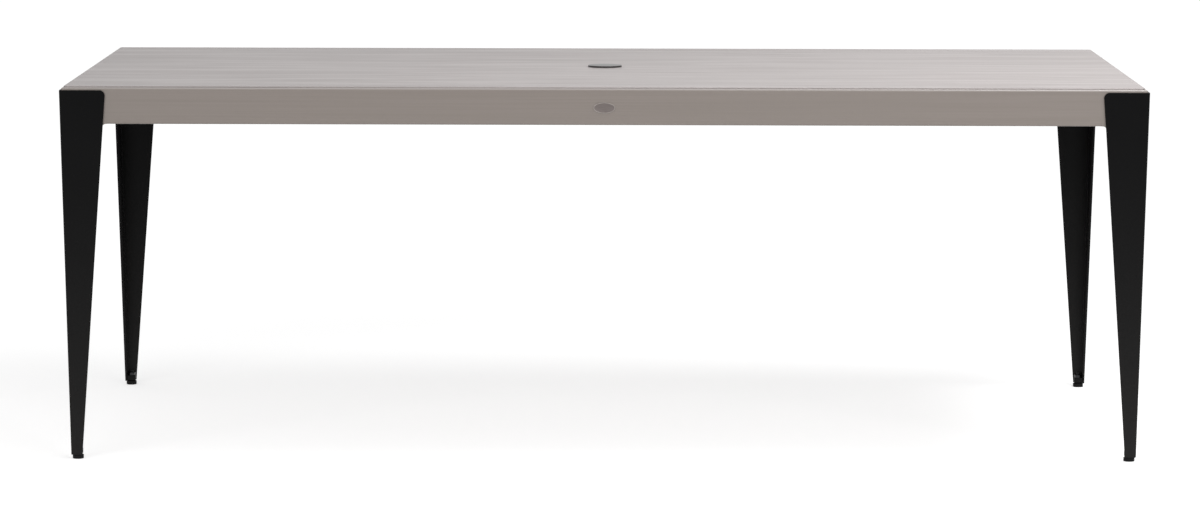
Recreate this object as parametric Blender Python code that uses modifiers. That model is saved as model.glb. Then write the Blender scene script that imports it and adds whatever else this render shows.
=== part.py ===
"""Outdoor dining table: a sheet top on a folded sheet frame, with four raked corner legs.

Metres, +Z up, +X along the table, the front at -Y, and the origin on the floor under
the middle of the top. Run it with: blender --background --python part.py
"""

import math

import bmesh
import bpy
from mathutils import Matrix, Vector

# Overall sizes, over the outer faces of the legs and up to the top face
TABLE_LENGTH = 2.134
TABLE_WIDTH = 1.067
TABLE_HEIGHT = 0.740

# Gap that is kept between two pieces that touch
FIT_GAP = 0.0003

# Top panel
PANEL_THICKNESS = 0.0020
PANEL_CORNER_RADIUS = 0.0040
PANEL_EDGE_ROUND = 0.0005

# Aprons: one folded sheet each, ledge on top, wall outside, lip below
APRON_THICKNESS = 0.0025
APRON_DEPTH = 0.0743
APRON_TOP_INNER_BEND = 0.0020
APRON_BOTTOM_INNER_BEND = 0.0010
LEDGE_WIDTH = 0.0260
LIP_WIDTH = 0.0220

# Ears: the parts of the apron that run down behind the legs
EAR_DROP = 0.0450
EAR_THICKNESS = 0.0030
EAR_SET_BACK = 0.0001
EAR_HIDDEN_EDGE = 0.0015
EAR_FILLET_RADIUS = 0.0078
EAR_TIP_RADIUS = 0.0080
EAR_WING = 0.0100

# Legs: one plate each, folded into an L that leans in towards the floor
LEG_THICKNESS = 0.0040
LEG_INNER_BEND = 0.0020
LEG_TOP_DROP = 0.0082
LEG_RAKE = 0.0148
LEG_TOP_WIDTH = 0.0906
LEG_FOOT_WIDTH = 0.0226
LEG_TOP_CORNER_RADIUS = 0.0106

# Corner brackets inside the frame
BRACKET_THICKNESS = 0.0030
BRACKET_INNER_BEND = 0.0020
BRACKET_EDGE_MARGIN = 0.0050
BRACKET_CORNER_RADIUS = 0.0060

# Studs welded to the legs, and their flange nuts
STUD_RADIUS = 0.0030
STUD_INSET = 0.0450
STUD_TOP_MARGIN = 0.0190
STUD_BOTTOM_MARGIN = 0.0190
STUD_PROUD = 0.0015
STUD_WELD_DEPTH = 0.0010
NUT_ACROSS_FLATS = 0.0100
NUT_HEIGHT = 0.0060
NUT_FLANGE_RADIUS = 0.0066
NUT_FLANGE_THICKNESS = 0.0012

# Cross rails under the top, and the strips that damp the sheet
RAIL_THICKNESS = 0.0020
RAIL_INNER_BEND = 0.0015
RAIL_WIDTH = 0.0400
RAIL_DEPTH = 0.0250
RAIL_HOLE_MARGIN = 0.0170
RAIL_POSITION = 0.5200
STRIP_MARGIN = 0.0080
STRIP_END_GAP = 0.0020

# Screws that hold the rails to the ledges
SCREW_RADIUS = 0.00175
SCREW_HEAD_RADIUS = 0.0035
SCREW_HEAD_HEIGHT = 0.0024
SCREW_HEAD_ROUND = 0.0015
SCREW_SOCKET_FLATS = 0.0025
SCREW_SOCKET_DEPTH = 0.0013

# Umbrella pole way, its collar and its cap
POLE_DIAMETER = 0.0380
POLE_CLEARANCE = 0.0020
COLLAR_WALL = 0.0018
COLLAR_FLANGE_THICKNESS = 0.0012
COLLAR_LENGTH = 0.0320
CAP_RADIUS = 0.0350
CAP_RIM_WALL = 0.0027
CAP_HEIGHT = 0.0034
CAP_DOME = 0.0006
CAP_EDGE_ROUND = 0.0010
CAP_SKIRT_WALL = 0.0016
CAP_SKIRT_LENGTH = 0.0120
CAP_CEILING_RISE = 0.0005

# Feet: a block in each leg, and a levelling glide with its jam nut
PAD_RADIUS = 0.0110
PAD_HEIGHT = 0.0080
PAD_CHAMFER = 0.0010
PAD_TOP_CHAMFER = 0.0005
PAD_SOCKET_FLOOR = 0.0020
STEM_RADIUS = 0.0050
STEM_CHAMFER = 0.0008
STEM_PROUD = 0.0045
BLOCK_RISE = 0.0100
BLOCK_HEIGHT = 0.0100
BLOCK_WALL = 0.0040
BLOCK_SIDE_ROUND = 0.0010
BLOCK_INNER_ROUND = 0.0030
JAM_NUT_ACROSS_FLATS = 0.0160
JAM_NUT_HEIGHT = 0.0060
JAM_NUT_CHAMFER = 0.0008
JAM_NUT_TURN = math.radians(15)

# Badge plate on the front apron
BADGE_WIDTH = 0.0430
BADGE_HEIGHT = 0.0220
BADGE_THICKNESS = 0.0014
BADGE_RIM = 0.0016
BADGE_RECESS = 0.0005
BADGE_DROP = 0.0405

# Fineness of round shapes
ARC_SEGMENTS = 4
FOLD_SEGMENTS = 4
EDGE_SEGMENTS = 2
DOME_STEPS = 3
SMALL_ROUND = 12
MIDDLE_ROUND = 20
LARGE_ROUND = 32
SMOOTH_ANGLE = math.radians(32)
MERGE_DISTANCE = 0.00001

# Outer radii of the folds
APRON_TOP_RADIUS = APRON_THICKNESS + APRON_TOP_INNER_BEND
APRON_BOTTOM_RADIUS = APRON_THICKNESS + APRON_BOTTOM_INNER_BEND
LEG_BEND_RADIUS = LEG_THICKNESS + LEG_INNER_BEND
BRACKET_BEND_RADIUS = BRACKET_THICKNESS + BRACKET_INNER_BEND
RAIL_BEND_RADIUS = RAIL_THICKNESS + RAIL_INNER_BEND

# Heights that follow from the sizes above
PANEL_UNDERSIDE = TABLE_HEIGHT - PANEL_THICKNESS
LEDGE_TOP = PANEL_UNDERSIDE - FIT_GAP
LEDGE_UNDERSIDE = LEDGE_TOP - APRON_THICKNESS
RAIL_TOP = LEDGE_UNDERSIDE - FIT_GAP
APRON_BOTTOM = TABLE_HEIGHT - APRON_DEPTH
EAR_BOTTOM = APRON_BOTTOM - EAR_DROP
LEG_TOP = TABLE_HEIGHT - LEG_TOP_DROP
LEG_FOOT = PAD_HEIGHT + FIT_GAP
BRACKET_TOP = LEDGE_UNDERSIDE - APRON_TOP_INNER_BEND - FIT_GAP
BRACKET_BOTTOM = EAR_BOTTOM + BRACKET_EDGE_MARGIN
STUD_HEIGHTS = (BRACKET_TOP - STUD_TOP_MARGIN, BRACKET_BOTTOM + STUD_BOTTOM_MARGIN)
BLOCK_TOP = BLOCK_RISE + BLOCK_HEIGHT
STEM_TOP = BLOCK_TOP + FIT_GAP + JAM_NUT_HEIGHT + STEM_PROUD

# Setbacks from the outer plane of a leg, square to it
APRON_INSET = LEG_THICKNESS + FIT_GAP
PANEL_INSET = APRON_INSET + APRON_TOP_RADIUS
EAR_INSET = APRON_INSET + EAR_SET_BACK
BRACKET_INSET = EAR_INSET + EAR_THICKNESS + FIT_GAP
NUT_INSET = BRACKET_INSET + BRACKET_THICKNESS + FIT_GAP
STUD_END = NUT_INSET + NUT_HEIGHT + STUD_PROUD

# Round fits
STUD_HOLE_RADIUS = STUD_RADIUS + FIT_GAP
SCREW_HOLE_RADIUS = SCREW_RADIUS + FIT_GAP
STEM_HOLE_RADIUS = STEM_RADIUS + FIT_GAP
COLLAR_BORE_RADIUS = POLE_DIAMETER / 2 + POLE_CLEARANCE
COLLAR_TUBE_RADIUS = COLLAR_BORE_RADIUS + COLLAR_WALL
POLE_HOLE_RADIUS = COLLAR_TUBE_RADIUS + FIT_GAP
COLLAR_FLANGE_RADIUS = CAP_RADIUS - CAP_RIM_WALL - FIT_GAP
CENTRE_RAIL_WIDTH = 2 * (POLE_HOLE_RADIUS + RAIL_HOLE_MARGIN)

# The lean of the legs, which the apron walls share
RAKE_SLOPE = LEG_RAKE / LEG_TOP
RAKE_ANGLE = math.atan(RAKE_SLOPE)

# The glide stands clear of the leg's two walls by its jam nut's reach
JAM_NUT_REACH = JAM_NUT_ACROSS_FLATS / math.sqrt(3) * math.cos(JAM_NUT_TURN)
LONG_REACH = 0.3


def rake(z):
    """How far the raked planes have moved in at this height."""
    return RAKE_SLOPE * (LEG_TOP - z)


def leg_edge(z):
    """Distance of a leg's free edge from the table's outer plane."""
    share = (z - LEG_FOOT) / (LEG_TOP - LEG_FOOT)
    width = LEG_FOOT_WIDTH + (LEG_TOP_WIDTH - LEG_FOOT_WIDTH) * share
    return rake(z) + width


def ear_edge(z):
    """Distance of an ear's free edge, which hides just behind the leg's."""
    return leg_edge(z) - EAR_HIDDEN_EDGE


def bracket_edge(z):
    return ear_edge(z) - BRACKET_EDGE_MARGIN


GLIDE_INSET = rake(BLOCK_TOP) + LEG_THICKNESS + FIT_GAP + JAM_NUT_REACH


# Scene and helpers


def clear_scene():
    for obj in list(bpy.data.objects):
        bpy.data.objects.remove(obj, do_unlink=True)


def new_collection(name):
    collection = bpy.data.collections.new(name)
    bpy.context.scene.collection.children.link(collection)
    return collection


clear_scene()
TABLE = new_collection("dining_table")
TOOLS = new_collection("cutters")


def tool(bm, name="tool"):
    """A mesh object that only shapes others."""
    mesh = bpy.data.meshes.new(name)
    bm.to_mesh(mesh)
    bm.free()
    obj = bpy.data.objects.new(name, mesh)
    TOOLS.objects.link(obj)
    obj.hide_render = True
    obj.display_type = "WIRE"
    return obj


def with_modifier(obj, kind, **settings):
    modifier = obj.modifiers.new(kind.lower(), kind)
    for key, value in settings.items():
        setattr(modifier, key, value)
    return obj


def boolean(obj, operation, other):
    return with_modifier(obj, "BOOLEAN", operation=operation, object=other, solver="EXACT")


def finished(obj, others=()):
    """The evaluated mesh of a tool object, which is then removed with its helpers."""
    depsgraph = bpy.context.evaluated_depsgraph_get()
    mesh = bpy.data.meshes.new_from_object(obj.evaluated_get(depsgraph))
    for spent in (obj, *others):
        bpy.data.objects.remove(spent, do_unlink=True)
    mesh.shade_smooth()
    mesh.set_sharp_from_angle(angle=SMOOTH_ANGLE)
    return mesh


def combined(base, steps):
    """A mesh from a base object and (operation, object) steps, done in order."""
    for operation, other in steps:
        boolean(base, operation, other)
    return finished(base, [other for _, other in steps])


def rounded_outline(corners):
    """Outline points from (across, up, radius) corners, each radius drawn as an arc."""
    points = []
    count = len(corners)
    for index, (across, up, radius) in enumerate(corners):
        here = Vector((across, up))
        if radius == 0:
            points.append(here)
            continue
        before = (Vector(corners[index - 1][:2]) - here).normalized()
        after = (Vector(corners[(index + 1) % count][:2]) - here).normalized()
        half = before.angle(after) / 2
        centre = here + (before + after).normalized() * radius / math.sin(half)
        start = here + before * radius / math.tan(half) - centre
        end = here + after * radius / math.tan(half) - centre
        turn = -start.angle_signed(end)
        for step in range(ARC_SEGMENTS + 1):
            points.append(centre + Matrix.Rotation(turn * step / ARC_SEGMENTS, 2) @ start)
    return points


def arc(across, up, radius, start, end, steps):
    """Points on an arc about (across, up), its angles in degrees up from outwards."""
    angles = [math.radians(start + (end - start) * step / steps) for step in range(steps + 1)]
    return [(across + radius * math.cos(a), up + radius * math.sin(a)) for a in angles]


def facing(bm, face, outward):
    """Turns a face so that its normal points the given way."""
    face.normal_update()
    if face.normal.dot(outward) < 0:
        bmesh.ops.reverse_faces(bm, faces=[face])


def raked_plate(corners, inset, thickness):
    """A flat plate in the raked plane of a long side, thickened inwards."""
    bm = bmesh.new()
    level = inset / math.cos(RAKE_ANGLE)
    outline = rounded_outline(corners)
    face = bm.faces.new([bm.verts.new((s, level + rake(z), z)) for s, z in outline])
    facing(bm, face, Vector((0, -1, 0)))
    return with_modifier(
        tool(bm), "SOLIDIFY", thickness=thickness, offset=-1, use_even_offset=True
    )


def corner_plate(top, bottom, edge, inset, thickness, bend, top_radius, bottom_radius):
    """An L plate in the two raked planes of a corner, folded along their meeting line.

    The corner's own frame has its origin on the floor under the table's outer corner,
    and its +X and +Y run inwards along the two sides.
    """
    level = inset / math.cos(RAKE_ANGLE)
    outline = rounded_outline(
        [(edge(top), top, top_radius), (edge(bottom), bottom, bottom_radius)]
        + [(level + rake(bottom), bottom, 0), (level + rake(top), top, 0)]
    )
    free_edge = outline[:-2]
    bm = bmesh.new()
    fold = [bm.verts.new((level + rake(z), level + rake(z), z)) for z in (bottom, top)]
    along_x = [bm.verts.new((s, level + rake(z), z)) for s, z in free_edge]
    along_y = [bm.verts.new((level + rake(z), s, z)) for s, z in free_edge]
    facing(bm, bm.faces.new(along_x + fold), Vector((0, -1, 0)))
    facing(bm, bm.faces.new(along_y + fold), Vector((-1, 0, 0)))
    bmesh.ops.bevel(
        bm,
        geom=[bm.edges.get(fold)],
        offset=bend,
        segments=FOLD_SEGMENTS,
        profile=0.5,
        affect="EDGES",
        material=-1,
    )
    return with_modifier(
        tool(bm), "SOLIDIFY", thickness=thickness, offset=-1, use_even_offset=True
    )


def folded_strip(section, bends, start, end, outward):
    """An open strip along X through (y, z) section points, its inner points bent."""
    bm = bmesh.new()
    chain = [bm.verts.new((start, y, z)) for y, z in section]
    edges = [bm.edges.new(pair) for pair in zip(chain, chain[1:])]
    grown = bmesh.ops.extrude_edge_only(bm, edges=edges)["geom"]
    moved = [item for item in grown if isinstance(item, bmesh.types.BMVert)]
    bmesh.ops.translate(bm, verts=moved, vec=(end - start, 0, 0))
    bmesh.ops.recalc_face_normals(bm, faces=bm.faces[:])
    if max((face.normal.dot(outward) for face in bm.faces), key=abs) < 0:
        bmesh.ops.reverse_faces(bm, faces=bm.faces[:])
    folds = [
        next(edge for edge in vert.link_edges if edge.other_vert(vert) not in chain)
        for vert in chain[1:-1]
    ]
    for fold, bend in zip(folds, bends):
        bmesh.ops.bevel(
            bm,
            geom=[fold],
            offset=bend,
            segments=FOLD_SEGMENTS,
            profile=0.5,
            affect="EDGES",
            material=-1,
        )
    return bm


def box(low, high, turn=Matrix.Identity(4)):
    """A box between two corners, turned about the origin afterwards."""
    low = Vector(low)
    high = Vector(high)
    size = high - low
    place = turn @ Matrix.Translation((low + high) / 2) @ Matrix.Diagonal((*size, 1))
    bm = bmesh.new()
    bmesh.ops.create_cube(bm, size=1, matrix=place)
    return bm


def rod(start, end, radius, segments=SMALL_ROUND, bm=None):
    """A plain round bar between two points."""
    start = Vector(start)
    run = Vector(end) - start
    turn = Vector((0, 0, 1)).rotation_difference(run).to_matrix().to_4x4()
    bm = bm or bmesh.new()
    bmesh.ops.create_cone(
        bm,
        cap_ends=True,
        segments=segments,
        radius1=radius,
        radius2=radius,
        depth=run.length,
        matrix=Matrix.Translation(start + run / 2) @ turn,
    )
    return bm


def turned(profile, closed=False, segments=SMALL_ROUND):
    """A turned body from (radius, z) points that run down its outer side."""
    bm = bmesh.new()
    chain = [bm.verts.new((radius, 0, z)) for radius, z in profile]
    for pair in zip(chain, chain[1:] + chain[:1] if closed else chain[1:]):
        bm.edges.new(pair)
    return with_modifier(
        tool(bm),
        "SCREW",
        angle=math.tau,
        steps=segments,
        render_steps=segments,
        use_merge_vertices=True,
        merge_threshold=MERGE_DISTANCE,
    )


def empty(name, location, turn):
    obj = bpy.data.objects.new(name, None)
    TABLE.objects.link(obj)
    obj.location = location
    obj.rotation_euler = (0, 0, turn)
    return obj


def material(name, colour, roughness, metallic):
    made = bpy.data.materials.new(name)
    made.use_nodes = True
    shader = made.node_tree.nodes["Principled BSDF"]
    shader.inputs["Base Color"].default_value = (*colour, 1)
    shader.inputs["Roughness"].default_value = roughness
    shader.inputs["Metallic"].default_value = metallic
    return made


def piece(name, mesh, finish, parent=None, location=(0, 0, 0), rotation=(0, 0, 0)):
    """One sub-part of the table."""
    obj = bpy.data.objects.new(name, mesh)
    TABLE.objects.link(obj)
    obj.parent = parent
    obj.location = location
    obj.rotation_euler = rotation
    if not mesh.materials:
        mesh.materials.append(finish)
    return obj


TAUPE = (0.234, 0.204, 0.183)
BLACK = (0.012, 0.012, 0.013)
ZINC = (0.600, 0.590, 0.570)
BLACK_ZINC = (0.035, 0.035, 0.037)

TOP_PAINT = material("top_panel", (0.390, 0.356, 0.349), 0.42, 0.0)
APRON_PAINT = material("apron", TAUPE, 0.45, 0.0)
BRACKET_PAINT = material("corner_bracket", TAUPE, 0.50, 0.0)
RAIL_PAINT = material("cross_rail", TAUPE, 0.50, 0.0)
LEG_PAINT = material("leg", BLACK, 0.50, 0.0)
LEG_NUT_ZINC = material("leg_nut", ZINC, 0.35, 1.0)
SCREW_ZINC = material("rail_screw", ZINC, 0.35, 1.0)
STEM_ZINC = material("glide_stem", BLACK_ZINC, 0.40, 1.0)
JAM_NUT_ZINC = material("jam_nut", BLACK_ZINC, 0.40, 1.0)
COLLAR_PLASTIC = material("umbrella_collar", BLACK, 0.45, 0.0)
CAP_PLASTIC = material("umbrella_cap", BLACK, 0.40, 0.0)
BLOCK_PLASTIC = material("foot_block", BLACK, 0.50, 0.0)
PAD_PLASTIC = material("glide_pad", BLACK, 0.55, 0.0)
STRIP_FOAM = material("damping_strip", (0.060, 0.060, 0.062), 0.90, 0.0)
BADGE_METAL = material("badge_plate", (0.142, 0.120, 0.113), 0.40, 0.4)


# Top panel


def top_panel_mesh():
    half_x = TABLE_LENGTH / 2 - PANEL_INSET
    half_y = TABLE_WIDTH / 2 - PANEL_INSET
    sides = [(-half_x, -half_y), (half_x, -half_y), (half_x, half_y), (-half_x, half_y)]
    outline = rounded_outline([(x, y, PANEL_CORNER_RADIUS) for x, y in sides])
    bm = bmesh.new()
    face = bm.faces.new([bm.verts.new((x, y, TABLE_HEIGHT)) for x, y in outline])
    facing(bm, face, Vector((0, 0, 1)))
    sheet = with_modifier(tool(bm), "SOLIDIFY", thickness=PANEL_THICKNESS, offset=-1)
    with_modifier(
        sheet,
        "BEVEL",
        width=PANEL_EDGE_ROUND,
        segments=EDGE_SEGMENTS,
        limit_method="ANGLE",
        angle_limit=2 * SMOOTH_ANGLE,
    )
    hole = rod(
        (0, 0, PANEL_UNDERSIDE - PANEL_THICKNESS),
        (0, 0, TABLE_HEIGHT + PANEL_THICKNESS),
        POLE_HOLE_RADIUS,
        LARGE_ROUND,
    )
    return combined(sheet, [("DIFFERENCE", tool(hole))])


# Aprons


def apron_section():
    """The apron's outer line, as (inwards, up) points: ledge, wall and lip."""
    face = APRON_INSET / math.cos(RAKE_ANGLE)
    return [
        (face + LEDGE_WIDTH, LEDGE_TOP),
        (face + rake(LEDGE_TOP), LEDGE_TOP),
        (face + rake(APRON_BOTTOM), APRON_BOTTOM),
        (face + rake(APRON_BOTTOM) + LIP_WIDTH, APRON_BOTTOM),
    ]


def ear_wing_end():
    return ear_edge(APRON_BOTTOM) + EAR_WING


def ear_corners():
    """The ear's outline, as (from the table's end, up, radius) corners."""
    return [
        (-EAR_WING, LEDGE_UNDERSIDE - APRON_TOP_RADIUS, 0),
        (-EAR_WING, EAR_BOTTOM, 0),
        (ear_edge(EAR_BOTTOM), EAR_BOTTOM, EAR_TIP_RADIUS),
        (ear_edge(APRON_BOTTOM), APRON_BOTTOM, EAR_FILLET_RADIUS),
        (ear_wing_end(), APRON_BOTTOM, 0),
        (ear_wing_end(), LEDGE_UNDERSIDE - APRON_TOP_RADIUS, 0),
    ]


def mitre_tool():
    """Takes off what lies past the corner's diagonal."""
    bm = box(
        (-LONG_REACH, -FIT_GAP / 2, 0),
        (LONG_REACH, LONG_REACH, TABLE_HEIGHT + LONG_REACH),
        Matrix.Rotation(math.radians(45), 4, "Z"),
    )
    return tool(bm)


def corner_relief_tool():
    """Takes off the apron's outer corner where the leg's bend needs the room."""
    reach = LEG_BEND_RADIUS * math.sqrt(2) - LEG_INNER_BEND + FIT_GAP
    lean = math.atan(RAKE_SLOPE * math.sqrt(2))
    bm = box(
        (-LONG_REACH, -LONG_REACH, -LONG_REACH),
        (LONG_REACH, reach, LONG_REACH),
        Matrix.Translation((0, 0, LEG_TOP))
        @ Matrix.Rotation(math.radians(-45), 4, "Z")
        @ Matrix.Rotation(lean, 4, "X"),
    )
    return tool(bm)


def stud_line(across, z, start, end):
    """Two points on a stud's axis, square to the raked plane of a long side."""
    root = Vector((across, rake(z), z))
    inward = Vector((0, math.cos(RAKE_ANGLE), math.sin(RAKE_ANGLE)))
    return root + inward * start, root + inward * end


def apron_mesh(length, screw_places):
    """One apron in its own frame: +X along it, +Y inwards, the origin on the floor."""
    end = -length / 2
    face = APRON_INSET / math.cos(RAKE_ANGLE)
    bends = (APRON_TOP_RADIUS, APRON_BOTTOM_RADIUS)
    bm = folded_strip(apron_section(), bends, end - EAR_WING, LIP_WIDTH, Vector((0, -1, 0)))
    base = with_modifier(
        tool(bm), "SOLIDIFY", thickness=APRON_THICKNESS, offset=-1, use_even_offset=True
    )
    lip_notch = box(
        (end - 2 * EAR_WING, -LIP_WIDTH, APRON_BOTTOM - LIP_WIDTH),
        (
            end + ear_wing_end() - APRON_THICKNESS,
            face + rake(APRON_BOTTOM) + 2 * LIP_WIDTH,
            APRON_BOTTOM + 2 * APRON_BOTTOM_RADIUS,
        ),
    )
    ear = raked_plate(ear_corners(), EAR_INSET, EAR_THICKNESS)
    ear.location.x = end
    mitre = mitre_tool()
    mitre.location.x = end
    relief = corner_relief_tool()
    relief.location.x = end
    steps = [
        ("DIFFERENCE", tool(lip_notch)),
        ("UNION", ear),
        ("DIFFERENCE", mitre),
        ("DIFFERENCE", relief),
    ]
    for operation, other in steps:
        boolean(base, operation, other)
    with_modifier(
        base,
        "MIRROR",
        use_axis=(True, False, False),
        use_bisect_axis=(True, False, False),
        use_bisect_flip_axis=(True, False, False),
        merge_threshold=MERGE_DISTANCE,
    )
    holes = apron_holes_tool(length, screw_places)
    boolean(base, "DIFFERENCE", holes)
    return finished(base, [other for _, other in steps] + [holes])


def apron_holes_tool(length, screw_places):
    """The stud holes at both ends and the rail screws' holes in the ledge."""
    bm = bmesh.new()
    for end in (-1, 1):
        for z in STUD_HEIGHTS:
            across = end * (length / 2 - STUD_INSET)
            start, stop = stud_line(across, z, 0, STUD_END)
            rod(start, stop, STUD_HOLE_RADIUS, bm=bm)
    for x in screw_places:
        low = (x, screw_inset(), RAIL_TOP - APRON_THICKNESS)
        high = (x, screw_inset(), PANEL_UNDERSIDE + APRON_THICKNESS)
        rod(low, high, SCREW_HOLE_RADIUS, bm=bm)
    return tool(bm)


def screw_inset():
    """Where the rail screws stand, in from the table's outer plane."""
    return APRON_INSET + (APRON_TOP_RADIUS + LEDGE_WIDTH) / 2


# Legs, corner brackets and their fasteners


def both_flanges(bm, across, z, start, end, radius):
    """A rod square to each of a corner's two raked planes."""
    for order in ((0, 1, 2), (1, 0, 2)):
        points = [Vector([point[i] for i in order]) for point in stud_line(across, z, start, end)]
        rod(*points, radius, bm=bm)


def studs_tool(start, end, radius):
    bm = bmesh.new()
    for z in STUD_HEIGHTS:
        both_flanges(bm, STUD_INSET, z, start, end, radius)
    return tool(bm)


def leg_mesh():
    """One folded leg in its corner's frame, with its welded studs."""
    plate = corner_plate(
        LEG_TOP, LEG_FOOT, leg_edge, 0, LEG_THICKNESS, LEG_BEND_RADIUS, LEG_TOP_CORNER_RADIUS, 0
    )
    studs = studs_tool(LEG_THICKNESS - STUD_WELD_DEPTH, STUD_END, STUD_RADIUS)
    return combined(plate, [("UNION", studs)])


def bracket_mesh():
    plate = corner_plate(
        BRACKET_TOP,
        BRACKET_BOTTOM,
        bracket_edge,
        BRACKET_INSET,
        BRACKET_THICKNESS,
        BRACKET_BEND_RADIUS,
        BRACKET_CORNER_RADIUS,
        BRACKET_CORNER_RADIUS,
    )
    holes = studs_tool(0, STUD_END, STUD_HOLE_RADIUS)
    return combined(plate, [("DIFFERENCE", holes)])


def hexagon(across_flats, low, high, turn=0.0):
    bm = bmesh.new()
    radius = across_flats / math.sqrt(3)
    bmesh.ops.create_cone(
        bm,
        cap_ends=True,
        segments=6,
        radius1=radius,
        radius2=radius,
        depth=high - low,
        matrix=Matrix.Translation((0, 0, (low + high) / 2)) @ Matrix.Rotation(turn, 4, "Z"),
    )
    return tool(bm)


def nut_bore(height, radius):
    """A rod that runs past both ends of a nut standing on its origin."""
    return tool(rod((0, 0, -height), (0, 0, 2 * height), radius))


def flange_nut_mesh():
    """A hexagon nut on its own washer flange, standing on its origin."""
    flange = turned(
        [
            (0, 2 * NUT_FLANGE_THICKNESS),
            (NUT_ACROSS_FLATS / 2, 2 * NUT_FLANGE_THICKNESS),
            (NUT_FLANGE_RADIUS, NUT_FLANGE_THICKNESS),
            (NUT_FLANGE_RADIUS, 0),
            (0, 0),
        ]
    )
    body = hexagon(NUT_ACROSS_FLATS, NUT_FLANGE_THICKNESS, NUT_HEIGHT)
    bore = nut_bore(NUT_HEIGHT, STUD_HOLE_RADIUS)
    return combined(body, [("UNION", flange), ("DIFFERENCE", bore)])


# Cross rails, strips and screws


def rail_end():
    """How far a rail's end stands in from the table's outer plane."""
    low = RAIL_TOP - RAIL_DEPTH
    return APRON_INSET + APRON_TOP_RADIUS + max(rake(low), 0) + FIT_GAP


def cross_rail_mesh(width, hole_radius=0.0):
    """A channel, open below, that lies along X in its own frame."""
    half = TABLE_WIDTH / 2 - rail_end()
    low = RAIL_TOP - RAIL_DEPTH
    section = [(-width / 2, low), (-width / 2, RAIL_TOP), (width / 2, RAIL_TOP), (width / 2, low)]
    bends = (RAIL_BEND_RADIUS, RAIL_BEND_RADIUS)
    bm = folded_strip(section, bends, -half, half, Vector((0, 0, 1)))
    base = with_modifier(
        tool(bm), "SOLIDIFY", thickness=RAIL_THICKNESS, offset=-1, use_even_offset=True
    )
    above = RAIL_TOP + RAIL_THICKNESS
    below = RAIL_TOP - 2 * RAIL_THICKNESS
    holes = bmesh.new()
    for side in (-1, 1):
        x = side * (TABLE_WIDTH / 2 - screw_inset())
        rod((x, 0, below), (x, 0, above), SCREW_HOLE_RADIUS, bm=holes)
    if hole_radius:
        rod((0, 0, below), (0, 0, above), hole_radius, LARGE_ROUND, holes)
    return combined(base, [("DIFFERENCE", tool(holes))])


def damping_strip_mesh(width, hole_radius=0.0):
    """The foam strip that lies on a rail, between the two ledges."""
    half = TABLE_WIDTH / 2 - APRON_INSET / math.cos(RAKE_ANGLE) - LEDGE_WIDTH - STRIP_END_GAP
    low = RAIL_TOP + FIT_GAP
    high = PANEL_UNDERSIDE - FIT_GAP
    strip = tool(box((-half, -width / 2, low), (half, width / 2, high)))
    if not hole_radius:
        return finished(strip)
    hole = rod((0, 0, RAIL_TOP), (0, 0, TABLE_HEIGHT), hole_radius, LARGE_ROUND)
    return combined(strip, [("DIFFERENCE", tool(hole))])


def rail_screw_mesh():
    """A round-headed screw, head down, whose origin is under the rail's web."""
    shank_top = LEDGE_TOP - (RAIL_TOP - RAIL_THICKNESS)
    head_end = -FIT_GAP - SCREW_HEAD_HEIGHT
    crown = SCREW_HEAD_RADIUS - SCREW_HEAD_ROUND
    round_centre = head_end + SCREW_HEAD_ROUND
    base = turned(
        [
            (0, shank_top),
            (SCREW_RADIUS, shank_top),
            (SCREW_RADIUS, -FIT_GAP),
            (SCREW_HEAD_RADIUS, -FIT_GAP),
            *arc(crown, round_centre, SCREW_HEAD_ROUND, 0, -90, EDGE_SEGMENTS),
            (0, head_end),
        ]
    )
    socket = hexagon(
        SCREW_SOCKET_FLATS, head_end - SCREW_SOCKET_DEPTH, head_end + SCREW_SOCKET_DEPTH
    )
    return combined(base, [("DIFFERENCE", socket)])


# Umbrella collar and cap, in a frame whose origin is the middle of the top face


def umbrella_collar_mesh():
    top = FIT_GAP + COLLAR_FLANGE_THICKNESS
    return finished(
        turned(
            [
                (COLLAR_BORE_RADIUS, top),
                (COLLAR_FLANGE_RADIUS, top),
                (COLLAR_FLANGE_RADIUS, FIT_GAP),
                (COLLAR_TUBE_RADIUS, FIT_GAP),
                (COLLAR_TUBE_RADIUS, -COLLAR_LENGTH),
                (COLLAR_BORE_RADIUS, -COLLAR_LENGTH),
            ],
            closed=True,
            segments=LARGE_ROUND,
        )
    )


def umbrella_cap_mesh():
    """A slightly domed cap with a thick rim, and a skirt that drops into the collar."""
    rim = FIT_GAP + CAP_HEIGHT
    ceiling = FIT_GAP + COLLAR_FLANGE_THICKNESS + FIT_GAP
    skirt = COLLAR_BORE_RADIUS - FIT_GAP
    crown = CAP_RADIUS - CAP_EDGE_ROUND
    shares = [step / DOME_STEPS for step in range(DOME_STEPS)]
    return finished(
        turned(
            [
                *[(crown * share, rim + CAP_DOME * (1 - share**2)) for share in shares],
                *arc(crown, rim - CAP_EDGE_ROUND, CAP_EDGE_ROUND, 90, 0, EDGE_SEGMENTS),
                (CAP_RADIUS, FIT_GAP),
                (CAP_RADIUS - CAP_RIM_WALL, FIT_GAP),
                (CAP_RADIUS - CAP_RIM_WALL, ceiling),
                (skirt, ceiling),
                (skirt, -CAP_SKIRT_LENGTH),
                (skirt - CAP_SKIRT_WALL, -CAP_SKIRT_LENGTH),
                (skirt - CAP_SKIRT_WALL, CAP_CEILING_RISE),
                (0, CAP_CEILING_RISE),
            ],
            segments=LARGE_ROUND,
        )
    )


# Feet, with the glide's origin on its own axis at the floor


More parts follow.
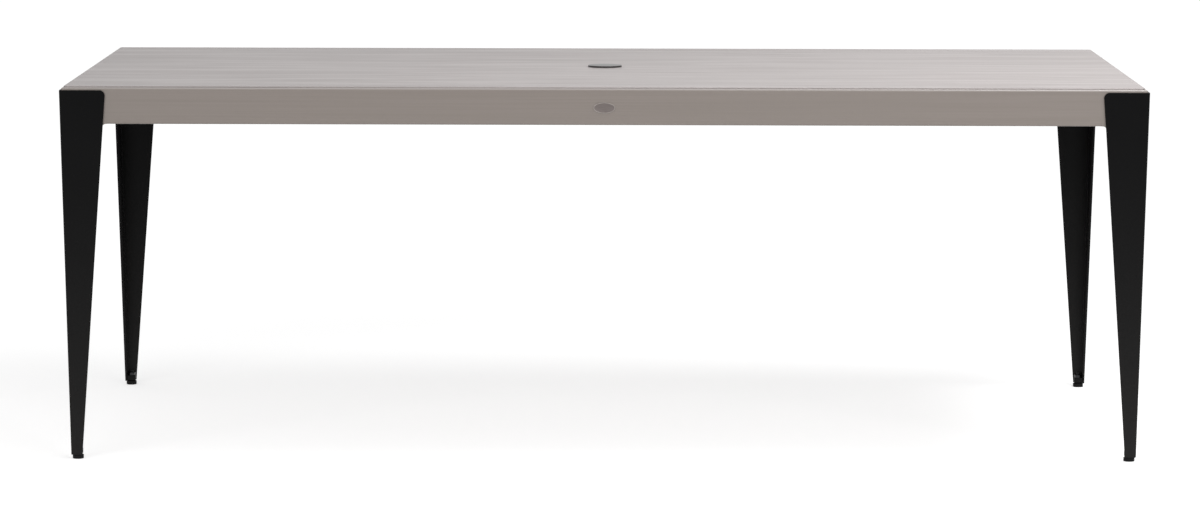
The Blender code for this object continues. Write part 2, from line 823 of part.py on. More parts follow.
def foot_block_mesh():
    """The block inside a leg's foot, in the corner's frame."""
    near = (LEG_THICKNESS + FIT_GAP) / math.cos(RAKE_ANGLE) + rake(BLOCK_RISE)
    far = GLIDE_INSET + STEM_HOLE_RADIUS + BLOCK_WALL
    outline = rounded_outline(
        [
            (near, near, LEG_INNER_BEND),
            (far, near, BLOCK_SIDE_ROUND),
            (far, far, BLOCK_INNER_ROUND),
            (near, far, BLOCK_SIDE_ROUND),
        ]
    )
    bm = bmesh.new()
    face = bm.faces.new([bm.verts.new((x, y, BLOCK_TOP)) for x, y in outline])
    facing(bm, face, Vector((0, 0, 1)))
    block = with_modifier(tool(bm), "SOLIDIFY", thickness=BLOCK_HEIGHT, offset=-1)
    low = (GLIDE_INSET, GLIDE_INSET, BLOCK_RISE - BLOCK_HEIGHT)
    high = (GLIDE_INSET, GLIDE_INSET, BLOCK_TOP + BLOCK_HEIGHT)
    hole = tool(rod(low, high, STEM_HOLE_RADIUS))
    return combined(block, [("DIFFERENCE", hole)])


def glide_pad_mesh():
    return finished(
        turned(
            [
                (0, PAD_SOCKET_FLOOR),
                (STEM_HOLE_RADIUS, PAD_SOCKET_FLOOR),
                (STEM_HOLE_RADIUS, PAD_HEIGHT),
                (PAD_RADIUS - PAD_TOP_CHAMFER, PAD_HEIGHT),
                (PAD_RADIUS, PAD_HEIGHT - PAD_TOP_CHAMFER),
                (PAD_RADIUS, PAD_CHAMFER),
                (PAD_RADIUS - PAD_CHAMFER, 0),
                (0, 0),
            ],
            segments=MIDDLE_ROUND,
        )
    )


def glide_stem_mesh():
    low = PAD_SOCKET_FLOOR + FIT_GAP
    return finished(
        turned(
            [
                (0, STEM_TOP),
                (STEM_RADIUS - STEM_CHAMFER, STEM_TOP),
                (STEM_RADIUS, STEM_TOP - STEM_CHAMFER),
                (STEM_RADIUS, low + STEM_CHAMFER),
                (STEM_RADIUS - STEM_CHAMFER, low),
                (0, low),
            ]
        )
    )


def jam_nut_mesh():
    """A hexagon nut standing on its origin, the corners turned off at both ends."""
    flat = JAM_NUT_ACROSS_FLATS / 2
    corner = JAM_NUT_ACROSS_FLATS / math.sqrt(3)
    middle = JAM_NUT_HEIGHT / 2
    widest = flat + (corner - flat) * middle / JAM_NUT_CHAMFER
    profile = [(0, JAM_NUT_HEIGHT), (flat, JAM_NUT_HEIGHT), (widest, middle), (flat, 0), (0, 0)]
    cones = turned(profile, segments=MIDDLE_ROUND)
    body = hexagon(JAM_NUT_ACROSS_FLATS, 0, JAM_NUT_HEIGHT, JAM_NUT_TURN)
    bore = nut_bore(JAM_NUT_HEIGHT, STEM_HOLE_RADIUS)
    return combined(body, [("INTERSECT", cones), ("DIFFERENCE", bore)])


# Badge plate


def badge_mesh():
    """A bare oval plate with a raised rim, lying on its back at its own origin."""
    bm = bmesh.new()
    bmesh.ops.create_circle(bm, cap_ends=True, segments=LARGE_ROUND, radius=BADGE_WIDTH / 2)
    bmesh.ops.scale(bm, vec=(1, BADGE_HEIGHT / BADGE_WIDTH, 1), verts=bm.verts[:])
    grown = bmesh.ops.extrude_face_region(bm, geom=bm.faces[:])["geom"]
    top = [item for item in grown if isinstance(item, bmesh.types.BMVert)]
    bmesh.ops.translate(bm, verts=top, vec=(0, 0, BADGE_THICKNESS))
    bmesh.ops.recalc_face_normals(bm, faces=bm.faces[:])
    front = max(bm.faces, key=lambda face: face.calc_center_median().z)
    bmesh.ops.inset_region(bm, faces=[front], thickness=BADGE_RIM, use_even_offset=True)
    bmesh.ops.inset_region(
        bm, faces=[front], thickness=BADGE_RECESS, depth=-BADGE_RECESS, use_even_offset=True
    )
    return finished(tool(bm))


# Assembly

CORNERS = {
    "front_left": (-1, -1, 0),
    "front_right": (1, -1, 1),
    "rear_right": (1, 1, 2),
    "rear_left": (-1, 1, 3),
}

SIDES = {
    "front": (0, -1, 0),
    "right": (1, 0, 1),
    "rear": (0, 1, 2),
    "left": (-1, 0, 3),
}

RAILS = {"left": -RAIL_POSITION, "centre": 0.0, "right": RAIL_POSITION}


def quarter(turns):
    return turns * math.pi / 2


def place_top():
    piece("top_panel", top_panel_mesh(), TOP_PAINT)
    middle = (0, 0, TABLE_HEIGHT)
    piece("umbrella_collar", umbrella_collar_mesh(), COLLAR_PLASTIC, location=middle)
    piece("umbrella_hole_cap", umbrella_cap_mesh(), CAP_PLASTIC, location=middle)


def place_aprons():
    meshes = {
        "long": apron_mesh(TABLE_LENGTH, RAILS.values()),
        "short": apron_mesh(TABLE_WIDTH, ()),
    }
    for name, (x, y, turns) in SIDES.items():
        location = (x * TABLE_LENGTH / 2, y * TABLE_WIDTH / 2, 0)
        side = empty(name + "_side", location, quarter(turns))
        piece(name + "_apron", meshes["long" if x == 0 else "short"], APRON_PAINT, side)
        if name == "front":
            place_badge(side)


def place_badge(side):
    z = TABLE_HEIGHT - BADGE_DROP
    back, _ = stud_line(0, z, APRON_INSET - FIT_GAP, 0)
    tilt = (math.pi / 2 + RAKE_ANGLE, 0, 0)
    piece("badge_plate", badge_mesh(), BADGE_METAL, side, back, tilt)


def place_rails():
    plain = cross_rail_mesh(RAIL_WIDTH)
    holed = cross_rail_mesh(CENTRE_RAIL_WIDTH, POLE_HOLE_RADIUS)
    strip = damping_strip_mesh(RAIL_WIDTH - 2 * STRIP_MARGIN)
    holed_strip = damping_strip_mesh(CENTRE_RAIL_WIDTH - 2 * STRIP_MARGIN, POLE_HOLE_RADIUS)
    screw = rail_screw_mesh()
    across = TABLE_WIDTH / 2 - screw_inset()
    for name, x in RAILS.items():
        line = empty(name + "_rail_line", (x, 0, 0), quarter(1))
        middle = x == 0
        piece("cross_rail_" + name, holed if middle else plain, RAIL_PAINT, line)
        piece("damping_strip_" + name, holed_strip if middle else strip, STRIP_FOAM, line)
        for end, side in (("front", -1), ("rear", 1)):
            place = (side * across, 0, RAIL_TOP - RAIL_THICKNESS)
            piece(f"rail_screw_{name}_{end}", screw, SCREW_ZINC, line, place)


def place_corners():
    leg = leg_mesh()
    bracket = bracket_mesh()
    nut = flange_nut_mesh()
    block = foot_block_mesh()
    pad = glide_pad_mesh()
    stem = glide_stem_mesh()
    jam_nut = jam_nut_mesh()
    for name, (x, y, turns) in CORNERS.items():
        location = (x * TABLE_LENGTH / 2, y * TABLE_WIDTH / 2, 0)
        corner = empty(name + "_corner", location, quarter(turns))
        piece("leg_" + name, leg, LEG_PAINT, corner)
        piece("corner_bracket_" + name, bracket, BRACKET_PAINT, corner)
        place_nuts(name, nut, corner)
        axis = (GLIDE_INSET, GLIDE_INSET, 0)
        piece("foot_block_" + name, block, BLOCK_PLASTIC, corner)
        piece("glide_pad_" + name, pad, PAD_PLASTIC, corner, axis)
        piece("glide_stem_" + name, stem, STEM_ZINC, corner, axis)
        seat = (GLIDE_INSET, GLIDE_INSET, BLOCK_TOP + FIT_GAP)
        piece("jam_nut_" + name, jam_nut, JAM_NUT_ZINC, corner, seat)


def place_nuts(name, nut, corner):
    for row, z in zip(("upper", "lower"), STUD_HEIGHTS):
        seat, _ = stud_line(STUD_INSET, z, NUT_INSET, 0)
        lie = math.pi / 2 - RAKE_ANGLE
        piece(f"leg_nut_{name}_{row}_a", nut, LEG_NUT_ZINC, corner, seat, (-lie, 0, 0))
        turned_seat = (seat.y, seat.x, seat.z)
        piece(f"leg_nut_{name}_{row}_b", nut, LEG_NUT_ZINC, corner, turned_seat, (0, lie, 0))


place_top()
place_aprons()
place_rails()
place_corners()
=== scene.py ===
# %% [markdown]
# # An outdoor dining table, dressed for its picture
#
# The table is a thin sheet metal top on four folded aprons and four legs, each one tapered
# plate folded into an L. Its working model is already packed. This script gives it its looks:
# finer meshes, finishes, a floor, soft light and a camera.

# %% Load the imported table
import math

import bmesh
import bpy
from mathutils import Matrix, Vector


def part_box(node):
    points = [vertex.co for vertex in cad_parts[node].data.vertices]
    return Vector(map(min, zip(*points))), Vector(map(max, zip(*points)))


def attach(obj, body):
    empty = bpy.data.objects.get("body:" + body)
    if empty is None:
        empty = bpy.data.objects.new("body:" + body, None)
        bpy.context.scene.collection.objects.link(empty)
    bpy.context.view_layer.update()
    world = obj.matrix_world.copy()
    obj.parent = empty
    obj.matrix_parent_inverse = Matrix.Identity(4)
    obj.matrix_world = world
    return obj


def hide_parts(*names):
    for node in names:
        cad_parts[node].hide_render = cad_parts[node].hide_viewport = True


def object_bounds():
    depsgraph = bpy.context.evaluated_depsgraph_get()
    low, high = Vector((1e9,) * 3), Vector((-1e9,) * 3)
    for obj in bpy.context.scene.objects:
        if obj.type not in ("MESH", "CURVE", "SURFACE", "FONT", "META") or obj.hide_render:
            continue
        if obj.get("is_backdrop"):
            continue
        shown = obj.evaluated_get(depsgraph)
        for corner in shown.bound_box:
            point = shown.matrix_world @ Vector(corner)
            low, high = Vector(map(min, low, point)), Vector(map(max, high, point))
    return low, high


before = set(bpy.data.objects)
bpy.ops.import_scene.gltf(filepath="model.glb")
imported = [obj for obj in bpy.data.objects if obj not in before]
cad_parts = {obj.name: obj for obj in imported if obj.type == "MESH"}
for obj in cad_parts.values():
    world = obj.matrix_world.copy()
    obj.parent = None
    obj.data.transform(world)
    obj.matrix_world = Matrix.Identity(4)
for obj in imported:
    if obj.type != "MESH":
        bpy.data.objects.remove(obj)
packed_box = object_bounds()

# %% [markdown]
# ## The table's own measures
#
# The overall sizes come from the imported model's boxes. Gauges and bend radii are the ordinary
# ones of sheet metal work, and stand by name, in metres, where they are first needed.

# %% Overall sizes, and helpers used throughout
def heights(node):
    """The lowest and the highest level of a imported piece."""
    return [corner.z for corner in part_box(node)]


def mm(metres):
    return round(metres * 1000, 2)


def settle(thing, **settings):
    """Gives a node, a modifier or other data block its settings."""
    for key, value in settings.items():
        setattr(thing, key, value)
    return thing


def put_in_scene(name, data):
    made = bpy.data.objects.new(name, data)
    bpy.context.scene.collection.objects.link(made)
    return made


FIT_GAP = 0.0003
APRON_DEPTH = 0.0743
low_corner, high_corner = packed_box
TABLE_LENGTH = high_corner.x - low_corner.x
TABLE_WIDTH = high_corner.y - low_corner.y
TOP_FACE = heights("top_panel")[1]
LEG_FOOT, LEG_TOP = heights("leg_front_left")
EAR_BOTTOM, APRON_TOP = heights("front_apron")
APRON_BOTTOM = TOP_FACE - APRON_DEPTH
print("table, in mm:", mm(TABLE_LENGTH), mm(TABLE_WIDTH), mm(TOP_FACE))

# %% [markdown]
# ## The lean of the legs
#
# Every leg leans in a little towards the floor, and the apron walls share that lean, so that
# plate lies flat on plate. The free edge of a leg is a straight taper from a broad top to a
# narrow foot, and the ear of the apron hides just behind that edge.

# %% Lean and taper
LEG_RAKE = 0.0148
RAKE_SLOPE = LEG_RAKE / LEG_TOP
RAKE_ANGLE = math.atan(RAKE_SLOPE)
INWARD = Vector((0, math.cos(RAKE_ANGLE), math.sin(RAKE_ANGLE)))
LEG_TOP_WIDTH = 0.0906
LEG_FOOT_WIDTH = 0.0226
EAR_HIDDEN_EDGE = 0.0015
BRACKET_EDGE_MARGIN = 0.0050


def rake(height):
    """How far the leaning planes have moved in at this height."""
    return RAKE_SLOPE * (LEG_TOP - height)


def leg_edge(height):
    """Distance of a leg's free edge from the table's outer plane."""
    share = (height - LEG_FOOT) / (LEG_TOP - LEG_FOOT)
    return rake(height) + LEG_FOOT_WIDTH + (LEG_TOP_WIDTH - LEG_FOOT_WIDTH) * share


def ear_edge(height):
    return leg_edge(height) - EAR_HIDDEN_EDGE


def bracket_edge(height):
    return ear_edge(height) - BRACKET_EDGE_MARGIN


print("leg is", mm(leg_edge(LEG_TOP)), "mm wide at its top")

# %% [markdown]
# ## Four corners and four sides
#
# Legs are the same at every corner and aprons on every side, only turned by a quarter. So each
# is modelled in the corner's or side's own frame, its origin on the floor under the table's
# edge and +Y pointing inwards. A matrix then carries the mesh to its place, because the object
# itself stays at the origin.

# %% Places
CORNERS = {
    "front_left": (-1, -1, 0),
    "front_right": (1, -1, 1),
    "rear_right": (1, 1, 2),
    "rear_left": (-1, 1, 3),
}
SIDES = {"front": (0, -1, 0), "right": (1, 0, 1), "rear": (0, 1, 2), "left": (-1, 0, 3)}
move = Matrix.Translation


def quarter_turns(turns):
    return Matrix.Rotation(turns * math.pi / 2, 4, "Z")


def place_at(right, back, turns):
    """The matrix from a corner's or a side's own frame to the table's."""
    origin = (right * TABLE_LENGTH / 2, back * TABLE_WIDTH / 2, 0)
    return move(origin) @ quarter_turns(turns)


def over_floor(low, high):
    """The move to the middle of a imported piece's box, at floor level."""
    return move(((low.x + high.x) / 2, (low.y + high.y) / 2, 0))


def normal_line(across, height, depth):
    """A point at this depth behind the leaning plane of a side, square to it."""
    return Vector((across, rake(height), height)) + INWARD * depth


print("corners:", ", ".join(CORNERS))

# %% [markdown]
# ## Finishes: nodes and node groups
#
# An effect that several finishes share is a node group with named inputs. It puts out heights
# and masks, and each material decides what to do with them. Every pattern reads the object's
# own coordinates, in metres.

# %% Node helpers
def add_node(tree, kind, links=None, **settings):
    """A node of the tree, with its settings and with sockets linked or set by name or number."""
    node = settle(tree.nodes.new("ShaderNode" + kind), **settings)
    for key, source in (links or {}).items():
        if isinstance(source, bpy.types.NodeSocket):
            tree.links.new(source, node.inputs[key])
        else:
            node.inputs[key].default_value = source
    return node


def object_place(tree):
    return add_node(tree, "TexCoord").outputs["Object"]


def object_height(tree):
    return add_node(tree, "SeparateXYZ", {"Vector": object_place(tree)}).outputs["Z"]


def noise(tree, place, scale, detail=2.0, roughness=0.5):
    """Soft random blotches about a middle of one half."""
    links = {"Vector": place, "Scale": scale, "Detail": detail, "Roughness": roughness}
    return add_node(tree, "TexNoise", links).outputs["Fac"]


def calc(tree, operation, *values, clamp=False):
    """What a Math node makes of numbers and sockets."""
    links = dict(enumerate(values))
    return add_node(tree, "Math", links, operation=operation, use_clamp=clamp).outputs[0]


def map_range(tree, value, low=0.0, high=1.0, to_low=0.0, to_high=1.0, **settings):
    """Carries a value from one range to another."""
    links = {"Value": value, "From Min": low, "From Max": high, "To Min": to_low, "To Max": to_high}
    return add_node(tree, "MapRange", links, **settings).outputs["Result"]


def mask_of(tree, centred, contrast):
    """A mask from 0 to 1, made of values about nought."""
    return calc(tree, "MULTIPLY_ADD", centred, contrast, 0.5, clamp=True)


print("node helpers ready")


# %% A builder for node groups
def node_group(name, **inputs):
    """An empty shader node group, and its input sockets, with spaces for the underscores."""
    group = bpy.data.node_groups.new(name, "ShaderNodeTree")
    for label, value in inputs.items():
        label = label.replace("_", " ")
        socket = group.interface.new_socket(label, in_out="INPUT", socket_type="NodeSocketFloat")
        socket.default_value = value
    return group, group.nodes.new("NodeGroupInput").outputs


def give_out(group, **results):
    """The group with its outputs added, each linked to its result."""
    for label in results:
        group.interface.new_socket(label, in_out="OUTPUT", socket_type="NodeSocketFloat")
    out = group.nodes.new("NodeGroupOutput")
    for label, result in results.items():
        group.links.new(result, out.inputs[label])
    print("group:", group.name)
    return group


print("group builder ready")

# %% [markdown]
# ## Finishes: the texture of sprayed powder
#
# Powder paint melts into a skin with a very fine waviness, called orange peel, and a grain of
# tiny specks. One noise makes the waves and a finer one the grain, which also changes the gloss.

# %% Orange peel
def orange_peel_group():
    group, given = node_group("orange_peel", Wave_Scale=420.0, Grain_Scale=2600.0, Grain_Share=0.25)
    place = object_place(group)
    wave = noise(group, place, given["Wave Scale"], detail=1.5, roughness=0.45)
    grain = noise(group, place, given["Grain Scale"])
    height = add_node(group, "Mix", {0: given["Grain Share"], 2: wave, 3: grain}, data_type="FLOAT")
    return give_out(group, Height=height.outputs[0], Speckle=grain)


ORANGE_PEEL = orange_peel_group()

# %% [markdown]
# ## Finishes: long streaks
#
# Faint streaks run along the top, where the sheet was rolled and brushed before it was painted.
# They are a stretched noise: the coordinate along the table is multiplied by far less than the
# two across it. Finer streaks lie over broad ones, and a slow noise lets both fade in and out.

# %% Long streaks
FINE_STREAK_FACTORS = (1.9, 4.6, 4.6)
FINE_STREAK_WEIGHT = 1.5
STREAK_FADE_SCALE = 2.3
STREAK_FADE = {"low": 0.38, "high": 0.62, "to_low": 0.35, "to_high": 1.25}


def long_streaks_group():
    group, given = node_group("long_streaks", Along_X=1.1, Along_Y=75.0, Along_Z=75.0, Contrast=2.0)
    place = object_place(group)
    stretch = add_node(group, "CombineXYZ", {axis: given["Along " + axis] for axis in "XYZ"})
    streaks = []
    wide = place
    for factors, detail in ((stretch.outputs["Vector"], 3.0), (FINE_STREAK_FACTORS, 2.0)):
        wide = add_node(group, "VectorMath", {0: wide, 1: factors}, operation="MULTIPLY").outputs["Vector"]
        streaks.append(noise(group, wide, 1.0, detail))
    broad, fine = streaks
    both = calc(group, "MULTIPLY_ADD", fine, FINE_STREAK_WEIGHT, broad)
    centred = calc(group, "SUBTRACT", both, (FINE_STREAK_WEIGHT + 1) / 2)
    strength = map_range(group, noise(group, place, STREAK_FADE_SCALE, 1.0), **STREAK_FADE)
    faded = calc(group, "MULTIPLY", centred, strength)
    return give_out(group, Streak=mask_of(group, faded, given["Contrast"]))


LONG_STREAKS = long_streaks_group()

# %% [markdown]
# ## Finishes: patches, floor dust and sheen, and the crown highlight of a fold
#
# No sprayed surface has quite one tone, so one group gives soft patches. Another makes a surface paler
# towards the floor: dust near the feet, and on the legs a painted sheen of the light from the floor. A
# third marks the crown of a fold, where it turns to face the sky, for a paler tone painted there as the
# highlight it catches.

# %% Patches, dust and sheen, and crown highlight
def soft_patches_group():
    group, given = node_group("soft_patches", Patch_Scale=3.0, Contrast=1.6)
    blotches = noise(group, object_place(group), given["Patch Scale"], detail=3.0)
    centred = calc(group, "SUBTRACT", blotches, 0.5)
    return give_out(group, Patch=mask_of(group, centred, given["Contrast"]))


# Paler towards the floor: dust at the feet, and, where it reaches up the legs, a painted sheen of the
# floor's light.
def floor_dust_and_sheen_group():
    group, given = node_group("floor_dust_and_sheen", Reach=0.12, Fall=1.6, Amount=0.3, Speck_Scale=900.0)
    fade = map_range(group, object_height(group), 0.0, given["Reach"], 1.0, 0.0)
    curved = calc(group, "POWER", fade, given["Fall"])
    specks = noise(group, object_place(group), given["Speck Scale"], detail=3.0)
    spotted = calc(group, "MULTIPLY", curved, specks)
    return give_out(group, Dust=calc(group, "MULTIPLY", spotted, given["Amount"]))


# The crown mask places a painted highlight: a paler tone on a fold where it faces up.
def fold_crown_highlight_group():
    """0 below a fold's low height and 1 above its high one."""
    group, given = node_group("fold_crown_highlight", Low=0.730, High=0.735)
    height = object_height(group)
    rise = map_range(group, height, given["Low"], given["High"], interpolation_type="SMOOTHSTEP")
    return give_out(group, Crown=rise)


SOFT_PATCHES = soft_patches_group()
FLOOR_DUST_AND_SHEEN = floor_dust_and_sheen_group()
FOLD_CROWN_HIGHLIGHT = fold_crown_highlight_group()

# %% [markdown]
# ## Finishes: from groups to materials
#
# A material starts as one Principled shader. What stays the same all over the surface is set on
# the shader's own socket. What changes, such as colour, roughness and bump, comes from the
# groups. Small helpers keep each material down to its choices.

# %% Material helpers
def new_material(name, roughness, metallic=0.0, specular=0.5):
    """A material with one Principled shader, and its tree."""
    made = bpy.data.materials.new(name)
    made.use_nodes = True
    inputs = made.node_tree.nodes["Principled BSDF"].inputs
    inputs["Roughness"].default_value = roughness
    inputs["Metallic"].default_value = metallic
    inputs["Specular IOR Level"].default_value = specular
    return made, made.node_tree


def use_group(tree, group, **values):
    """The outputs of a group that is placed in a material with these values."""
    inputs = {label.replace("_", " "): value for label, value in values.items()}
    return add_node(tree, "Group", inputs, node_tree=group).outputs


def blend_colours(tree, amount, first, second):
    """A colour mix, each side a colour or another node's output."""
    sides = [(*side, 1) if isinstance(side, (tuple, list)) else side for side in (first, second)]
    links = {0: amount, 6: sides[0], 7: sides[1]}
    return add_node(tree, "Mix", links, data_type="RGBA").outputs[2]


def surface(made, colour, height, depth, gloss_mask=None, roughness=()):
    """Links a finish to its shader. A gloss mask swings between two values of roughness."""
    tree = made.node_tree
    inputs = tree.nodes["Principled BSDF"].inputs
    relief = add_node(tree, "Bump", {"Height": height, "Distance": depth, "Strength": 1.0})
    tree.links.new(colour, inputs["Base Color"])
    tree.links.new(relief.outputs["Normal"], inputs["Normal"])
    if roughness:
        swing = map_range(tree, gloss_mask, to_low=roughness[0], to_high=roughness[1])
        tree.links.new(swing, inputs["Roughness"])
    print("finish:", made.name)
    return made


print("material helpers ready")

# %% [markdown]
# ## Finishes: the powder coats
#
# The aprons, brackets and rails wear a satin taupe. Two close tones of it meet in the streaks,
# which change the gloss a little too, and soft patches lean towards a warmer tone. The top wears
# the same coat in paler tones, painted light for the light that falls on it from above, with less
# gloss and bolder streaks, which also stand up as a slight wave in the sheet. The crown of the
# aprons' top fold takes a paler tone too, a painted highlight where it faces up.

# %% Powder coats
PATCH_SHARE = 0.45
WARMER_TINT = (1.015, 0.985, 0.990)
CROWN_HIGHLIGHT_START = 0.0040
CROWN_HIGHLIGHT_END = 0.0010
PAINT_RELIEF = 0.00004


def painted_sheet(name, tones, roughness, streaks, specular=0.5, crown=None, wave=0.0, swing=0.035):
    """Satin powder coat over sheet metal, streaked along the table."""
    made, tree = new_material(name, roughness, specular=specular)
    streak = use_group(tree, LONG_STREAKS, **streaks)["Streak"]
    patch = use_group(tree, SOFT_PATCHES, Patch_Scale=2.4)["Patch"]
    warmer = [value * tint for value, tint in zip(tones[1], WARMER_TINT)]
    colour = blend_colours(tree, streak, *tones)
    colour = blend_colours(tree, calc(tree, "MULTIPLY", patch, PATCH_SHARE), colour, warmer)
    # The crown colour is a painted highlight, a paler tone on the fold where it faces up.
    if crown:
        highlight_band = {"Low": APRON_TOP - CROWN_HIGHLIGHT_START, "High": APRON_TOP - CROWN_HIGHLIGHT_END}
        colour = blend_colours(tree, use_group(tree, FOLD_CROWN_HIGHLIGHT, **highlight_band)["Crown"], colour, crown)
    peel = use_group(tree, ORANGE_PEEL)["Height"]
    height = calc(tree, "MULTIPLY_ADD", streak, wave, peel)
    return surface(made, colour, height, PAINT_RELIEF, streak, (roughness + swing, roughness - swing))


APRON_TONES = ((0.222, 0.193, 0.172), (0.246, 0.214, 0.193))
# A painted highlight for the crown of the aprons' top fold.
CROWN_HIGHLIGHT_TONE = (0.390, 0.358, 0.344)
# The top's paler tones are painted light: the aprons' coat made paler for the light falling on it from
# above.
TOP_LIT_TONES = ((0.362, 0.331, 0.324), (0.417, 0.381, 0.374))
INNER_TONES = ((0.245, 0.212, 0.188), (0.268, 0.232, 0.208))
APRON_STREAKS = {"Along_X": 1.6, "Contrast": 1.6}
TOP_STREAKS = {"Along_X": 2.1, "Along_Y": 20.0, "Contrast": 3.8}
INNER_STREAKS = {"Along_X": 2.0, "Contrast": 1.2}
APRON_PAINT = painted_sheet("apron_powder_coat", APRON_TONES, 0.34, APRON_STREAKS, crown=CROWN_HIGHLIGHT_TONE)
TOP_PAINT = painted_sheet(
    "top_powder_coat", TOP_LIT_TONES, 0.42, TOP_STREAKS, specular=0.30, wave=6.0, swing=0.040
)
HIDDEN_PAINT = painted_sheet("inner_powder_coat", INNER_TONES, 0.52, INNER_STREAKS)

# %% [markdown]
# ## Finishes: black paint and black plastic
#
# The legs are sprayed in a deep satin black, with the same fine orange peel. They grow paler
# towards the floor: a trace of dust at the foot, and up most of the leg a painted sheen of the
# light from the floor. Pads, foot blocks, the collar and the cap are moulded plastic, with the
# fine spark-eroded grain of the mould instead of orange peel.

# %% Black finishes
DUST_AND_SHEEN_TONE = (0.152, 0.147, 0.143)
PEEL_GRAIN = {"Wave_Scale": 480.0, "Grain_Scale": 2800.0}
MOULD_GRAIN = {"Wave_Scale": 1500.0, "Grain_Scale": 5200.0, "Grain_Share": 0.6}


def swing_about(roughness, less=0.04, more=0.06):
    return roughness - less, roughness + more


def black_finish(name, tones, roughness, specular, grain, relief, dust_and_sheen):
    """Black paint or plastic with a grain of its own, paler towards the floor: dusted at the feet, and on
    the legs lit by a painted sheen of the floor's light.
    """
    made, tree = new_material(name, roughness, specular=specular)
    patch = use_group(tree, SOFT_PATCHES, Patch_Scale=9.0, Contrast=1.4)["Patch"]
    peel = use_group(tree, ORANGE_PEEL, **grain)
    dust_and_sheen_mask = use_group(tree, FLOOR_DUST_AND_SHEEN, **dust_and_sheen)["Dust"]
    with_dust_and_sheen = blend_colours(tree, dust_and_sheen_mask, blend_colours(tree, patch, *tones), DUST_AND_SHEEN_TONE)
    return surface(made, with_dust_and_sheen, peel["Height"], relief, peel["Speckle"], swing_about(roughness))


LEG_TONES = ((0.0026, 0.0026, 0.0028), (0.0038, 0.0038, 0.0040))
PLASTIC_TONES = ((0.0225, 0.0188, 0.0176), (0.0275, 0.0232, 0.0218))
NYLON_TONES = ((0.0032, 0.0032, 0.0034), (0.0046, 0.0046, 0.0049))
# On the legs the paler tone climbs nearly to their top: dust at the foot, and above it a painted sheen of
# the floor's light.
LEG_DUST_AND_SHEEN = {"Amount": 0.24, "Reach": 0.72}
LEG_PAINT = black_finish("leg_powder_coat", LEG_TONES, 0.42, 0.05, PEEL_GRAIN, 0.00003, LEG_DUST_AND_SHEEN)
PLASTIC = black_finish(
    "moulded_plastic", PLASTIC_TONES, 0.30, 0.50, MOULD_GRAIN, 0.000006, {"Amount": 0.05}
)
NYLON = black_finish("moulded_nylon", NYLON_TONES, 0.55, 0.10, MOULD_GRAIN, 0.00003, {"Amount": 0.06})

# %% [markdown]
# ## Finishes: zinc, foam and the bare badge
#
# Nuts, screws and studs are zinc plated steel, pale with a cloudy gloss. Stems and jam nuts show
# as dark glints inside the rear legs, so their zinc is the black kind. The damping strips are
# closed cell foam, its pits a cellular texture. The badge is anodised metal, very finely brushed,
# its rim a paler shade painted as a highlight.

# %% Zinc, foam and badge metal
METAL_RELIEF = 0.00001
ZINC_ROUGHNESS = (0.28, 0.44)
FOAM_CELL_SCALE = 1100.0
FOAM_RELIEF = 0.0002
FOAM_TONES = ((0.030, 0.030, 0.031), (0.085, 0.085, 0.088))
BRUSHING = {"Along_X": 60.0, "Along_Y": 900.0, "Along_Z": 900.0, "Contrast": 1.8}


def zinc_plate(name, *tones):
    made, tree = new_material(name, 0.34, metallic=1.0)
    patch = use_group(tree, SOFT_PATCHES, Patch_Scale=260.0, Contrast=2.0)["Patch"]
    peel = use_group(tree, ORANGE_PEEL, Wave_Scale=1800.0, Grain_Scale=6000.0)["Height"]
    colour = blend_colours(tree, patch, *tones)
    return surface(made, colour, peel, METAL_RELIEF, patch, ZINC_ROUGHNESS)


def foam_rubber():
    made, tree = new_material("foam_rubber", 0.88, specular=0.25)
    links = {"Vector": object_place(tree), "Scale": FOAM_CELL_SCALE}
    pits = add_node(tree, "TexVoronoi", links, feature="SMOOTH_F1").outputs["Distance"]
    return surface(made, blend_colours(tree, pits, *FOAM_TONES), pits, FOAM_RELIEF)


def badge_metal(name, roughness, *tones):
    made, tree = new_material(name, roughness, metallic=0.35)
    brushed = use_group(tree, LONG_STREAKS, **BRUSHING)["Streak"]
    colour = blend_colours(tree, brushed, *tones)
    return surface(made, colour, brushed, METAL_RELIEF, brushed, swing_about(roughness))


ZINC = zinc_plate("zinc_plate", (0.52, 0.51, 0.49), (0.68, 0.67, 0.64))
BLACK_ZINC = zinc_plate("black_zinc_plate", (0.026, 0.026, 0.0275), (0.042, 0.042, 0.044))
FOAM = foam_rubber()
BADGE_FACE = badge_metal("badge_face", 0.40, (0.128, 0.107, 0.101), (0.156, 0.132, 0.125))
# The rim's paler shade of the badge metal is a painted highlight.
BADGE_RIM_HIGHLIGHT = badge_metal("badge_rim_highlight", 0.30, (0.252, 0.223, 0.207), (0.294, 0.262, 0.245))

# %% [markdown]
# ## A bench for mesh work
#
# Blender's bmesh operators are the same tools as in Edit Mode, called from a script. A few
# helpers cover what sheet metal needs: picking the new vertices of an extrusion, giving an open
# skin its wall, cutting a closed shape with a plane and closing the cut, and rounding a corner.

# %% Mesh helpers
SHARP_ANGLE = math.radians(38)
MERGE_DISTANCE = 0.000002
CUT_DISTANCE = 0.0000001
FAR_INSIDE = 0.5


def new_verts(result):
    return [item for item in result["geom"] if isinstance(item, bmesh.types.BMVert)]


def outer_edges(result, verts):
    """The free edges of an extrusion that join its new vertices."""
    ends = set(verts)
    edges = (item for item in result["geom"] if isinstance(item, bmesh.types.BMEdge))
    return [edge for edge in edges if edge.is_boundary and ends.issuperset(edge.verts)]


